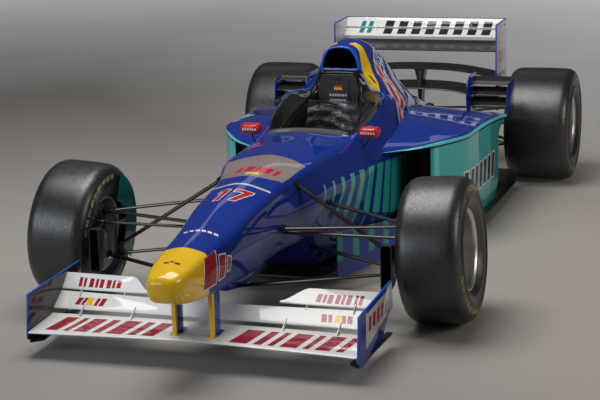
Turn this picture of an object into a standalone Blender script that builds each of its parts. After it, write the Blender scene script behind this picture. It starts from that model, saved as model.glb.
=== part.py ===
"""Open wheel racing car of the mid 1990s with slick tyres, built as an assembly.

Metres, +Z up, floor at z = 0. The nose points along -Y and the car's left is +X. Sizes are written
in the axle frame, where y = 0 is the front axle, and an empty moves the whole car so that the row's
origin lies under the middle of its length.
"""

import math

import bmesh
import bpy
from mathutils import Matrix, Vector

# Overall sizes
WHEELBASE = 2.90
DRAWN_WHEELBASE = 2.90
FRONT_TRACK = 1.682
REAR_TRACK = 1.590
NOSE_TIP_Y = -1.095
TAIL_Y = 3.340
GAP = 0.0003

# Wheels and tyres
WHEEL_STEPS = 28
FRONT_TYRE_R = 0.3175
FRONT_TYRE_W = 0.282
FRONT_CAMBER = math.radians(4)
REAR_TYRE_R = 0.330
REAR_TYRE_W = 0.380
RIM_LIP_R = 0.1760
RIM_SEAT_R = 0.1640
RIM_BORE_R = 0.1560
RIM_INSET = 0.026
LIP_T = 0.005
LIP_PLAY = 0.0008
WEB_T = 0.012
WEB_DEPTH = 0.085
HUB_R = 0.046
NUT_R = 0.030
NUT_L = 0.034
AXLE_R = 0.0200
AXLE_PLAY = 0.0008
SPOKES = 8
SHAFT_R = 0.015
SHAFT_IN_X = 0.112

# Steering
KINGPIN_IN = 0.126
KINGPIN_X = FRONT_TRACK / 2 - KINGPIN_IN
UPPER_EYE_Z = 0.415
LOWER_EYE_Z = 0.212
EYE_H = 0.020
EYE_R = 0.019
PIN_R = 0.0080
PIN_PLAY = 0.0008
STACK_GAP = 0.0006
STEER_ARM = 0.095
TRACK_ROD_Z = 0.386
ROD_END_R = 0.015
RACK_R = 0.012
RACK_HALF = 0.110
WHEEL_TILT = math.radians(18)
STEERING_WHEEL_POS = (0.0, 0.915, 0.548)
STEERING_WHEEL_R = 0.115
COLUMN_R = 0.0120
COLUMN_PLAY = 0.0008
COLUMN_L = 0.165
DASH_Y = 0.782
DASH_T = 0.014
DASH_LOW = 0.455

# Body
WALL = 0.018
SKIN_T = 0.008
SEAT_T = 0.006
TUB_FRONT_Y = -0.270
TUB_REAR_Y = 1.620
COCKPIT_FRONT_Y = 0.800
COCKPIT_REAR_Y = 1.330
FLOOR_LOW = 0.050
FLOOR_TOP = 0.060
PLANK_LOW = 0.040
PLANK_HALF = 0.150
POD_TOP_X = 0.180
POD_KNEE_Z = 0.165
POD_LEAN = 0.022
MOUTH_Y = 1.175
MOUTH_Z = 0.505
MIRROR_X = 0.300
MIRROR_Z = 0.653

# Wings
FRONT_WING_HALF = 0.700
REAR_WING_HALF = 0.500
PLATE_T = 0.008
MAIN_T = 0.016
MAIN_SAG = 0.006
SECOND_T = 0.012
SECOND_SAG = 0.004
PYLON_X = 0.080
PYLON_T = 0.024
PYLON_TOP = 0.340

REAR_AXLE_Z = REAR_TYRE_R * math.cos(math.pi / WHEEL_STEPS)

for old in list(bpy.data.objects):
    bpy.data.objects.remove(old, do_unlink=True)

scene = bpy.context.scene
parts = bpy.data.collections.new("racing_car")
cutters = bpy.data.collections.new("cutters")
scene.collection.children.link(parts)
scene.collection.children.link(cutters)

car = bpy.data.objects.new("car", None)
parts.objects.link(car)


def aft(y):
    """What lies behind the tub is drawn for DRAWN_WHEELBASE, and stretches with WHEELBASE."""
    if y <= TUB_REAR_Y:
        return y
    return TUB_REAR_Y + (y - TUB_REAR_Y) * (WHEELBASE - TUB_REAR_Y) / (DRAWN_WHEELBASE - TUB_REAR_Y)


car.location = (0, -(NOSE_TIP_Y + aft(TAIL_Y)) / 2, 0)


def material(name, colour, roughness, metallic=0.0):
    made = bpy.data.materials.new(name)
    made.use_nodes = True
    shader = made.node_tree.nodes["Principled BSDF"]
    shader.inputs["Base Color"].default_value = (*colour, 1)
    shader.inputs["Roughness"].default_value = roughness
    shader.inputs["Metallic"].default_value = metallic
    made.diffuse_color = (*colour, 1)
    return made


BLUE = material("blue_paint", (0.02, 0.05, 0.30), 0.25)
WHITE = material("white_paint", (0.80, 0.80, 0.80), 0.35)
TEAL = material("teal_paint", (0.03, 0.38, 0.36), 0.35)
RED = material("red_paint", (0.60, 0.02, 0.03), 0.35)
CARBON = material("carbon", (0.02, 0.02, 0.022), 0.35)
RUBBER = material("rubber", (0.02, 0.02, 0.02), 0.70)
SILVER = material("silver_metal", (0.62, 0.62, 0.62), 0.35, 1.0)
STEEL = material("dark_steel", (0.10, 0.10, 0.10), 0.40, 0.8)
CAST = material("cast_metal", (0.30, 0.30, 0.30), 0.55, 1.0)
PAD = material("dark_pad", (0.03, 0.03, 0.03), 0.60)


def place(name, mesh, paint, at=(0, 0, 0), turn=(0, 0, 0), home=parts):
    mesh.materials.clear()
    mesh.materials.append(paint)
    if at == (0, 0, 0):
        for vertex in mesh.vertices:
            vertex.co.y = aft(vertex.co.y)
    mesh.shade_smooth()
    mesh.set_sharp_from_angle(angle=math.radians(32))
    obj = bpy.data.objects.new(name, mesh)
    home.objects.link(obj)
    obj.parent = car
    obj.location = at
    obj.rotation_euler = turn
    return obj


def mesh_from(bm, name):
    bmesh.ops.recalc_face_normals(bm, faces=bm.faces)
    mesh = bpy.data.meshes.new(name)
    bm.to_mesh(mesh)
    bm.free()
    return mesh


def loft(rings, name="loft"):
    """A closed skin through rings of equally many points, with a flat cap at each end.

    The diagonals are set here, so that two skins of unlike size stay parallel."""
    bm = bmesh.new()
    rows = [[bm.verts.new(p) for p in ring] for ring in rings]
    count = len(rows[0])
    for row, after in zip(rows, rows[1:]):
        for i in range(count):
            j = (i + 1) % count
            if 2 * i < count - 1:
                bm.faces.new((row[i], row[j], after[j]))
                bm.faces.new((row[i], after[j], after[i]))
            else:
                bm.faces.new((row[i], row[j], after[i]))
                bm.faces.new((row[j], after[j], after[i]))
    bm.faces.new(rows[0])
    bm.faces.new(reversed(rows[-1]))
    return mesh_from(bm, name)


def box(low, high, name="box"):
    bm = bmesh.new()
    bmesh.ops.create_cube(bm, size=1)
    size = Vector(high) - Vector(low)
    middle = (Vector(high) + Vector(low)) / 2
    bmesh.ops.transform(bm, matrix=Matrix.Translation(middle) @ Matrix.Diagonal((*size, 1)), verts=bm.verts)
    return mesh_from(bm, name)


def cylinder(start, end, radius, sides=12, name="cylinder"):
    start, end = Vector(start), Vector(end)
    bm = bmesh.new()
    bmesh.ops.create_cone(bm, cap_ends=True, segments=sides, radius1=radius, radius2=radius,
                          depth=(end - start).length)
    turn = (end - start).to_track_quat("Z", "Y").to_matrix().to_4x4()
    bmesh.ops.transform(bm, matrix=Matrix.Translation((start + end) / 2) @ turn, verts=bm.verts)
    return mesh_from(bm, name)


def plate(outline, thickness, axis, at, name="plate"):
    """A flat plate: the outline's two numbers run along the other two axes, in X, Y, Z order."""
    others = [i for i in range(3) if i != "XYZ".index(axis)]
    bm = bmesh.new()
    verts = []
    for pair in outline:
        point = [0.0, 0.0, 0.0]
        point[others[0]], point[others[1]] = pair
        point["XYZ".index(axis)] = at - thickness / 2
        verts.append(bm.verts.new(point))
    face = bm.faces.new(verts)
    grown = bmesh.ops.extrude_face_region(bm, geom=[face])
    step = Vector((0, 0, 0))
    step["XYZ".index(axis)] = thickness
    bmesh.ops.translate(bm, vec=step, verts=[v for v in grown["geom"] if isinstance(v, bmesh.types.BMVert)])
    return mesh_from(bm, name)


def turned(profile, steps, name="turned"):
    """A solid of revolution about local Z from (radius, along) pairs, flat side down at rest."""
    lean = math.pi / steps
    bm = bmesh.new()
    verts = [bm.verts.new((r * math.cos(lean), r * math.sin(lean), a)) for r, a in profile]
    for first, second in zip(verts, verts[1:]):
        bm.edges.new((first, second))
    if profile[0][0] > 0:
        bm.edges.new((verts[-1], verts[0]))
    mesh = bpy.data.meshes.new(name)
    bm.to_mesh(mesh)
    bm.free()
    holder = bpy.data.objects.new(name, mesh)
    parts.objects.link(holder)
    screw = holder.modifiers.new("turn", "SCREW")
    screw.axis = "Z"
    screw.steps = steps
    screw.render_steps = steps
    screw.use_merge_vertices = True
    screw.merge_threshold = 0.00005
    return applied(holder, outward=True)


def applied(holder, outward=False):
    """The mesh of an object with its modifiers applied. The object is removed."""
    graph = bpy.context.evaluated_depsgraph_get()
    mesh = bpy.data.meshes.new_from_object(holder.evaluated_get(graph))
    bpy.data.objects.remove(holder, do_unlink=True)
    if outward:
        bm = bmesh.new()
        bm.from_mesh(mesh)
        bmesh.ops.remove_doubles(bm, verts=bm.verts, dist=0.00001)
        bmesh.ops.recalc_face_normals(bm, faces=bm.faces)
        bm.to_mesh(mesh)
        bm.free()
    return mesh


def fused(meshes, name="fused"):
    """One mesh from several closed ones that overlap."""
    holder = bpy.data.objects.new(name, meshes[0])
    parts.objects.link(holder)
    helpers = []
    for extra in meshes[1:]:
        helper = bpy.data.objects.new(name + "_helper", extra)
        cutters.objects.link(helper)
        join = holder.modifiers.new("join", "BOOLEAN")
        join.operation = "UNION"
        join.object = helper
        helpers.append(helper)
    bpy.context.view_layer.update()
    mesh = applied(holder)
    for helper in helpers:
        bpy.data.objects.remove(helper, do_unlink=True)
    return mesh


def carved(mesh, tool, name="carved"):
    """One closed mesh less another."""
    holder = bpy.data.objects.new(name, mesh)
    parts.objects.link(holder)
    helper = bpy.data.objects.new(name + "_helper", tool)
    cutters.objects.link(helper)
    carve = holder.modifiers.new("carve", "BOOLEAN")
    carve.operation = "DIFFERENCE"
    carve.object = helper
    bpy.context.view_layer.update()
    left = applied(holder)
    bpy.data.objects.remove(helper, do_unlink=True)
    return left


def cutter(name, mesh, at=(0, 0, 0), turn=(0, 0, 0)):
    made = place(name, mesh, RED, at, turn, cutters)
    made.hide_render = True
    made.display_type = "WIRE"
    return made


def cut(obj, *tools, solver="EXACT"):
    for tool in tools:
        carve = obj.modifiers.new("cut_" + tool.name, "BOOLEAN")
        carve.operation = "DIFFERENCE"
        carve.solver = solver
        carve.object = tool


def flip_x(mesh):
    """The same mesh on the other side of the car, faces still outward."""
    copy = mesh.copy()
    copy.transform(Matrix.Diagonal((-1, 1, 1, 1)))
    copy.flip_normals()
    return copy


def both_sides(name, left_mesh, paint):
    """Left and right copies of a mesh modelled on the car's left."""
    left = place(name + "_left", left_mesh, paint)
    right = place(name + "_right", flip_x(left_mesh), paint)
    return left, right


def rounded(corners, steps=3):
    """A ring of (a, b) points: each corner (a, b, radius) becomes a short arc."""
    points = []
    for i, (a, b, radius) in enumerate(corners):
        here = Vector((a, b))
        before = Vector(corners[i - 1][:2]) - here
        after = Vector(corners[(i + 1) % len(corners)][:2]) - here
        reach = min(radius, before.length * 0.49, after.length * 0.49)
        start = here + before.normalized() * reach
        end = here + after.normalized() * reach
        for k in range(steps):
            t = k / (steps - 1)
            points.append(start * (1 - t) ** 2 + here * 2 * t * (1 - t) + end * t**2)
    return points


def offset(ring, grow):
    """The ring moved outward by grow along its own normals; it runs anticlockwise."""
    moved = []
    for i, point in enumerate(ring):
        before = (point - ring[i - 1]).normalized()
        after = (ring[(i + 1) % len(ring)] - point).normalized()
        out_a = Vector((before.y, -before.x))
        out_b = Vector((after.y, -after.x))
        middle = (out_a + out_b).normalized()
        moved.append(point + middle * grow / max(0.5, middle.dot(out_a)))
    return moved


def hull(table, grow=0.0, low=None, high=None):
    """Rings across the car from rows of y, then half width and height of each corner going up from
    the bottom, its rounding, and the height of the top centre. grow moves the skin outward."""
    rings = []
    for row in table:
        y, corners, round_by, top = row
        half = [(w, z, round_by) for w, z in corners]
        ring = half + [(0, top, round_by * 2)] + [(-w, z, r) for w, z, r in reversed(half)]
        flat = offset(rounded(ring), grow)
        rings.append([(p.x, y, p.y) for p in flat])
    if low is not None:
        rings[0] = [(x, low, z) for x, y, z in rings[0]]
    if high is not None:
        rings[-1] = [(x, high, z) for x, y, z in rings[-1]]
    return loft(rings)


def blade_ring(x, lead, trail, thickness, sag=0.0, grow=0.0, count=5):
    """A wing section in the plane of x from its leading to its trailing (y, z) point."""
    lead, trail = Vector(lead), Vector(trail)
    along = (trail - lead).normalized()
    across = Vector((-along.y, along.x))
    chord = (trail - lead).length
    upper, lower = [], []
    for k in range(count + 1):
        s = (1 - math.cos(math.pi * k / count)) / 2
        depth = thickness / 2 * (2.1 * math.sqrt(s) * (1 - s) + 0.24 * (s > 0)) + grow
        middle = lead + along * (chord * s + grow * (2 * s - 1)) - across * sag * 4 * s * (1 - s)
        upper.append(middle + across * depth)
        lower.append(middle - across * depth)
    ring = lower[1:] + upper[:0:-1] + [lead - along * grow]
    return [(x, p.x, p.y) for p in ring]


def wing(stations, thickness, sag=0.0, grow=0.0):
    """Full span wing from rows of x, leading y and z, trailing y and z for the left half."""
    rows = [(-x, *rest) for x, *rest in reversed(stations) if x > 0] + list(stations)
    return loft([blade_ring(x, (ly, lz), (ty, tz), thickness, sag, grow) for x, ly, lz, ty, tz in rows])


def on_wing(stations, x, share, sag):
    """The (y, z) point of a wing's middle surface at this x and share of the chord."""
    for (xa, *a), (xb, *b) in zip(stations, stations[1:]):
        if xa <= x <= xb:
            t = (x - xa) / (xb - xa)
            ly, lz, ty, tz = (p + (q - p) * t for p, q in zip(a, b))
    lead, trail = Vector((ly, lz)), Vector((ty, tz))
    along = (trail - lead).normalized()
    return lead + (trail - lead) * share - Vector((-along.y, along.x)) * sag * 4 * share * (1 - share)


def strut(start, end, chord, thickness, sides=8):
    """A streamlined rod: an oval whose long side lies as near the car's length as it can."""
    start, end = Vector(start), Vector(end)
    along = (end - start).normalized()
    wide = (Vector((0, 1, 0)) - along * along.y).normalized()
    thin = along.cross(wide)
    rings = []
    for centre in (start, end):
        ring = []
        for k in range(sides):
            angle = 2 * math.pi * (k + 0.5) / sides
            ring.append(centre + wide * chord / 2 * math.cos(angle) + thin * thickness / 2 * math.sin(angle))
        rings.append(ring)
    return loft(rings)


def eye(x, y, z, bore, outer, height, sides=14):
    """A ring with a vertical bore."""
    ring = turned([(bore, height / 2), (outer, height / 2), (outer, -height / 2), (bore, -height / 2)], sides)
    ring.transform(Matrix.Translation((x, y, z)))
    return ring


# y, corners from the bottom up as (half width, height), rounding, height of the top centre
NOSE_ROWS = [
    (NOSE_TIP_Y, [(0.034, 0.366), (0.048, 0.398), (0.036, 0.428)], 0.010, 0.437),
    (-1.070, [(0.052, 0.345), (0.067, 0.395), (0.061, 0.440)], 0.020, 0.455),
    (-1.000, [(0.070, 0.324), (0.084, 0.395), (0.081, 0.455)], 0.024, 0.476),
    (-0.850, [(0.092, 0.304), (0.102, 0.400), (0.097, 0.478)], 0.026, 0.505),
    (-0.600, [(0.102, 0.284), (0.126, 0.410), (0.119, 0.505)], 0.028, 0.545),
    (-0.360, [(0.114, 0.268), (0.150, 0.425), (0.140, 0.548)], 0.030, 0.588),
    (TUB_FRONT_Y, [(0.118, 0.262), (0.158, 0.430), (0.143, 0.560)], 0.030, 0.603),
]
TUB_ROWS = [
    (TUB_FRONT_Y, [(0.060, 0.262), (0.118, 0.285), (0.158, 0.430), (0.143, 0.560)], 0.030, 0.603),
    (0.000, [(0.070, 0.230), (0.150, 0.290), (0.197, 0.440), (0.160, 0.594)], 0.032, 0.641),
    (0.140, [(0.085, 0.200), (0.195, 0.310), (0.243, 0.470), (0.195, 0.618)], 0.034, 0.653),
    (0.450, [(0.130, 0.080), (0.235, 0.300), (0.280, 0.470), (0.215, 0.628)], 0.034, 0.660),
    (0.800, [(0.180, 0.062), (0.290, 0.240), (0.318, 0.480), (0.236, 0.636)], 0.034, 0.656),
    (1.000, [(0.200, 0.062), (0.320, 0.200), (0.338, 0.500), (0.250, 0.670)], 0.034, 0.684),
    (1.270, [(0.220, 0.062), (0.335, 0.180), (0.340, 0.520), (0.262, 0.742)], 0.034, 0.752),
    (TUB_REAR_Y, [(0.230, 0.062), (0.330, 0.180), (0.332, 0.520), (0.250, 0.690)], 0.034, 0.760),
]
KEEL_ROWS = [
    (-0.420, [(0.016, 0.205), (0.024, 0.222), (0.022, 0.256)], 0.004, 0.258),
    (TUB_FRONT_Y - 0.002, [(0.030, 0.183), (0.046, 0.212), (0.044, 0.256)], 0.006, 0.2612),
    (-0.100, [(0.040, 0.188), (0.060, 0.225), (0.058, 0.270)], 0.006, 0.275),
]
COVER_ROWS = [
    (1.365, [(0.250, 0.560), (0.262, 0.700), (0.118, 0.850), (0.082, 0.965)], 0.030, 0.990),
    (1.520, [(0.285, 0.520), (0.280, 0.680), (0.125, 0.850), (0.082, 0.980)], 0.034, 1.008),
    (1.850, [(0.300, 0.460), (0.262, 0.620), (0.118, 0.790), (0.065, 0.905)], 0.034, 0.930),
    (2.150, [(0.280, 0.440), (0.225, 0.560), (0.105, 0.690), (0.048, 0.775)], 0.030, 0.790),
    (2.400, [(0.230, 0.435), (0.180, 0.500), (0.095, 0.585), (0.040, 0.645)], 0.026, 0.655),
    (2.620, [(0.185, 0.425), (0.150, 0.460), (0.090, 0.500), (0.042, 0.545)], 0.024, 0.556),
    (2.800, [(0.160, 0.418), (0.130, 0.440), (0.085, 0.455), (0.042, 0.490)], 0.022, 0.500),
]
GEARBOX_ROWS = [
    (2.300, [(0.130, 0.100), (0.150, 0.180), (0.140, 0.340), (0.090, 0.400)], 0.020, 0.410),
    (2.700, [(0.100, 0.130), (0.125, 0.200), (0.115, 0.350), (0.070, 0.400)], 0.018, 0.410),
    (3.020, [(0.070, 0.170), (0.090, 0.220), (0.085, 0.360), (0.055, 0.400)], 0.016, 0.408),
]
TAIL_ROWS = [
    (3.020 + GAP, [(0.050, 0.230), (0.062, 0.250), (0.060, 0.350), (0.040, 0.380)], 0.012, 0.388),
    (TAIL_Y - 0.020, [(0.034, 0.262), (0.042, 0.275), (0.040, 0.335), (0.028, 0.352)], 0.010, 0.358),
]

keel_skin = cutter("keel_skin", hull(KEEL_ROWS, GAP))
tub_skin = cutter("tub_skin", hull(TUB_ROWS, GAP, TUB_FRONT_Y - GAP, TUB_REAR_Y + GAP))
cover_skin = cutter("cover_skin", hull(COVER_ROWS, GAP, COVER_ROWS[0][0] - GAP, COVER_ROWS[-1][0] + GAP))
gearbox_skin = cutter("gearbox_skin", hull(GEARBOX_ROWS, GAP))
tail_skin = cutter("tail_skin", hull(TAIL_ROWS, GAP))


def on_column(depth):
    """The point this far down the steering column from the wheel's hub."""
    hub = Vector(STEERING_WHEEL_POS)
    return hub - Vector((0, math.cos(WHEEL_TILT), math.sin(WHEEL_TILT))) * depth


def monocoque():
    """The tub, hollow from the pedals to the seat back, with its cockpit opening and dash hoop."""
    tub = place("monocoque", fused([hull(TUB_ROWS), hull(KEEL_ROWS)]), BLUE)
    room = hull(TUB_ROWS[1:7], -WALL, -0.050, COCKPIT_REAR_Y + 0.060)
    dash = box((-0.400, DASH_Y - DASH_T / 2, DASH_LOW), (0.400, DASH_Y + DASH_T / 2, 0.800))
    column_bore = cylinder(on_column(0.100), on_column(0.200), COLUMN_R + COLUMN_PLAY)
    inside = carved(room, carved(dash, column_bore))
    opening = loft([[(x, y, z) for x, y in OPENING] for z in (0.500, 0.900)])
    rack_bore = cylinder((-0.40, -STEER_ARM, TRACK_ROD_Z), (0.40, -STEER_ARM, TRACK_ROD_Z), RACK_R + 0.003)
    cut(tub, cutter("cockpit_inside", inside), cutter("cockpit_opening", opening), cutter("rack_bore", rack_bore))


# x, y round the cockpit opening seen from above
OPENING = [
    (-0.150, COCKPIT_FRONT_Y), (0.150, COCKPIT_FRONT_Y), (0.205, 0.850), (0.220, 1.000),
    (0.200, 1.200), (0.170, 1.300), (0.120, COCKPIT_REAR_Y), (-0.120, COCKPIT_REAR_Y),
    (-0.170, 1.300), (-0.200, 1.200), (-0.220, 1.000), (-0.205, 0.850),
]


def cockpit_surround():
    """Padding over the rim of the opening, rising to the headrest behind the driver."""
    rows = []
    path = [
        (0.208, 0.810, 0.636), (0.226, 0.900, 0.660), (0.240, 1.050, 0.698), (0.250, 1.240, 0.745),
        (0.165, 1.340, 0.765), (0.125, 1.352, 0.806), (0.094, 1.348, 0.846),
    ]
    path = path + [(-x, y, z) for x, y, z in reversed(path)]
    for i, point in enumerate(path):
        before = Vector(path[max(i - 1, 0)])
        after = Vector(path[min(i + 1, len(path) - 1)])
        along = (after - before).normalized()
        side = along.cross(Vector((0, 0, 1))).normalized()
        up = side.cross(along).normalized()
        corners = rounded([(-0.020, -0.030, 0.008), (0.020, -0.030, 0.008), (0.014, 0.016, 0.008),
                           (-0.014, 0.016, 0.008)])
        rows.append([Vector(point) + side * p.x + up * p.y for p in corners])
    rest = hull([
        (1.3350, [(0.115, 0.660), (0.125, 0.760), (0.090, 0.835)], 0.020, 0.850),
        (1.3640, [(0.115, 0.660), (0.125, 0.760), (0.090, 0.845)], 0.020, 0.860),
    ])
    surround = place("cockpit_surround", fused([loft(rows), rest]), CARBON)
    cut(surround, tub_skin, cover_skin)


def seat():
    """A thin bucket from thigh to shoulder, open in front."""
    base = TUB_ROWS[4][1][0][1] + WALL + SEAT_T / 2 + GAP
    side_view = [(0.520, base + 0.080), (0.700, base + 0.035), (0.950, base), (1.090, base + 0.038),
                 (1.200, base + 0.195), (1.290, base + 0.415)]
    across = [(-0.180, 0.110), (-0.165, 0.040), (-0.110, 0.0), (0.110, 0.0), (0.165, 0.040), (0.180, 0.110)]
    bm = bmesh.new()
    rows = []
    for i, (y, z) in enumerate(side_view):
        before = Vector(side_view[max(i - 1, 0)])
        after = Vector(side_view[min(i + 1, len(side_view) - 1)])
        along = (after - before).normalized()
        normal = Vector((-along.y, along.x))
        rows.append([bm.verts.new((x, y + normal.x * lift, z + normal.y * lift)) for x, lift in across])
    for row, after in zip(rows, rows[1:]):
        for i in range(len(row) - 1):
            bm.faces.new((row[i], row[i + 1], after[i + 1], after[i]))
    shell = place("seat", mesh_from(bm, "seat"), CARBON)
    thick = shell.modifiers.new("shell", "SOLIDIFY")
    thick.thickness = SEAT_T
    thick.offset = 0


def steering_wheel():
    """Rim, spokes and column. The object's Z is the column, towards the driver."""
    bm = bmesh.new()
    rings = []
    for i in range(20):
        angle = 2 * math.pi * i / 20
        flat = 0.82 if math.sin(angle) < -0.6 else 1.0
        middle = Vector((math.cos(angle), math.sin(angle) * flat, 0)) * STEERING_WHEEL_R
        out = middle.normalized()
        rings.append([bm.verts.new(middle + (out * math.cos(a) + Vector((0, 0, 1)) * math.sin(a)) * 0.013)
                      for a in (math.pi * k / 3 for k in range(6))])
    for row, after in zip(rings, rings[1:] + rings[:1]):
        for i in range(6):
            bm.faces.new((row[i], row[(i + 1) % 6], after[(i + 1) % 6], after[i]))
    rim = mesh_from(bm, "rim")
    bar = box((-STEERING_WHEEL_R, -0.022, -0.008), (STEERING_WHEEL_R, 0.030, 0.008))
    column = cylinder((0, 0, -COLUMN_L), (0, 0, 0.002), COLUMN_R)
    place("steering_wheel", fused([rim, bar, column]), CARBON, STEERING_WHEEL_POS,
          (-(math.pi / 2 - WHEEL_TILT), 0, 0))


def nose():
    """Raised nose with the two pylons that carry the wing."""
    feet = [on_wing(FRONT_MAIN, PYLON_X, share, MAIN_SAG) for share in (0.26, 0.66)]
    pylon = [(feet[0].x - 0.004, PYLON_TOP), *[tuple(p) for p in feet], (feet[1].x + 0.004, PYLON_TOP)]
    pylons = [plate(pylon, PYLON_T, "X", side * PYLON_X) for side in (1, -1)]
    cone = hull(NOSE_ROWS, 0, NOSE_TIP_Y, TUB_FRONT_Y - GAP)
    body = place("nose_cone", fused([cone, *pylons]), BLUE)
    cut(body, cutter("front_main_skin", wing(FRONT_MAIN, MAIN_T, MAIN_SAG, GAP)))


# x, leading y and z, trailing y and z
WING_END = FRONT_WING_HALF - PLATE_T / 2 - GAP
FRONT_MAIN = [
    (0.000, -0.832, 0.115, -0.618, 0.126),
    (0.350, -0.840, 0.111, -0.616, 0.124),
    (WING_END, -0.851, 0.105, -0.622, 0.121),
]
FRONT_SECOND = [
    (0.000, -0.609, 0.142, -0.556, 0.194),
    (0.350, -0.608, 0.141, -0.540, 0.193),
    (WING_END, -0.612, 0.140, -0.525, 0.192),
]
FRONT_UPPER = [
    (0.288, -0.541, 0.208, -0.532, 0.216),
    (0.394, -0.528, 0.203, -0.456, 0.252),
    (WING_END, -0.523, 0.200, -0.466, 0.257),
]


def front_wing():
    place("front_wing_main", wing(FRONT_MAIN, MAIN_T, MAIN_SAG), WHITE)
    place("front_wing_second", wing(FRONT_SECOND, SECOND_T, SECOND_SAG), WHITE)
    upper = loft([blade_ring(x, (ly, lz), (ty, tz), 0.008, 0.004) for x, ly, lz, ty, tz in FRONT_UPPER])
    both_sides("front_flap", upper, WHITE)
    side = plate([(-0.851, 0.080), (-0.826, 0.262), (-0.336, 0.271), (-0.322, 0.155), (-0.420, 0.130),
                  (-0.500, 0.060), (-0.800, 0.050)], PLATE_T, "X", FRONT_WING_HALF)
    half = FRONT_WING_HALF
    foot = plate([(half - 0.050, -0.800), (half, -0.840), (half + 0.020, -0.380), (half - 0.010, -0.380)], 0.006, "Z",
                 0.062)
    both_sides("front_endplate", fused([side, foot]), BLUE)


def hub_turn(side, camber):
    """The turn that points a wheel's local Z out of the car."""
    return (0, side * (math.pi / 2 - camber), 0)


def tyre_section(radius, width):
    """The tyre's section as (radius, along) pairs, from bead to bead over the tread."""
    half = width / 2
    seat_half = half - RIM_INSET
    tyre = [
        (RIM_SEAT_R + GAP, seat_half - LIP_T * 2), (RIM_SEAT_R + GAP, -seat_half + LIP_T * 2),
        (RIM_LIP_R + LIP_PLAY, -seat_half + LIP_T - GAP), (RIM_LIP_R + LIP_PLAY, -seat_half - LIP_PLAY),
        (RIM_LIP_R + 0.034, -half + 0.005),
        (RIM_LIP_R + 0.080, -half), (radius - 0.022, -half + 0.012), (radius - 0.005, -half + 0.038),
        (radius, -half + 0.070),
    ]
    return (tyre + [(r, -a) for r, a in reversed(tyre[2:])])[::-1]


def axle_height(radius, width, camber):
    """Height of a wheel's centre whose leaning tyre just meets the floor."""
    flat = math.cos(math.pi / WHEEL_STEPS)
    return max(r * flat * math.cos(camber) - a * math.sin(camber) for r, a in tyre_section(radius, width))


FRONT_AXLE_Z = axle_height(FRONT_TYRE_R, FRONT_TYRE_W, FRONT_CAMBER)


def wheel(name, side, at, radius, width, camber, bore_end, shaft_to):
    """Tyre and rim about local Z, which points outward from the car."""
    seat_half = width / 2 - RIM_INSET
    turn = hub_turn(side, camber)
    hand = "left" if side > 0 else "right"
    place(f"{name}_tyre_{hand}", turned(tyre_section(radius, width), WHEEL_STEPS), RUBBER, at, turn)
    web_out = seat_half - WEB_DEPTH
    web_in = web_out - WEB_T
    rim = [
        (0, web_out + NUT_L), (NUT_R, web_out + NUT_L), (NUT_R + 0.006, web_out), (RIM_BORE_R, web_out),
        (RIM_BORE_R, seat_half - LIP_T), (RIM_LIP_R - 0.006, seat_half), (RIM_LIP_R, seat_half),
        (RIM_LIP_R, seat_half - LIP_T), (RIM_SEAT_R, seat_half - LIP_T * 2 + GAP),
        (RIM_SEAT_R, -seat_half + LIP_T * 2 - GAP), (RIM_LIP_R, -seat_half + LIP_T), (RIM_LIP_R, -seat_half),
        (RIM_BORE_R, -seat_half + LIP_T), (RIM_BORE_R, web_in), (HUB_R, web_in), (HUB_R - 0.010, bore_end),
    ]
    if shaft_to is None:
        rim += [(AXLE_R + AXLE_PLAY, bore_end), (AXLE_R + AXLE_PLAY, web_in + WEB_T * 0.7), (0, web_in + WEB_T * 0.7)]
    else:
        rim += [(SHAFT_R, bore_end), (SHAFT_R, shaft_to), (0, shaft_to)]
    disc = place(f"{name}_rim_{hand}", turned(rim, WHEEL_STEPS), SILVER, at, turn)
    inner, outer, spread = HUB_R + 0.022, RIM_BORE_R - 0.014, math.radians(13)
    for k in range(SPOKES):
        middle = 2 * math.pi * k / SPOKES
        corners = [(inner, -spread * 0.7), (inner, spread * 0.7), (outer, spread), (outer, -spread)]
        outline = [(r * math.cos(middle + a), r * math.sin(middle + a)) for r, a in corners]
        hole = cutter(f"window_{disc.name}_{k}", plate(outline, WEB_T * 3, "Z", web_in + WEB_T / 2), at, turn)
        cut(disc, hole)


def wheels():
    for side in (1, -1):
        wheel("front", side, (side * FRONT_TRACK / 2, 0.0, FRONT_AXLE_Z), FRONT_TYRE_R, FRONT_TYRE_W, FRONT_CAMBER,
              -0.030, None)
        wheel("rear", side, (side * REAR_TRACK / 2, WHEELBASE, REAR_AXLE_Z), REAR_TYRE_R, REAR_TYRE_W, 0.0, -0.060,
              SHAFT_IN_X - REAR_TRACK / 2)


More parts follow.
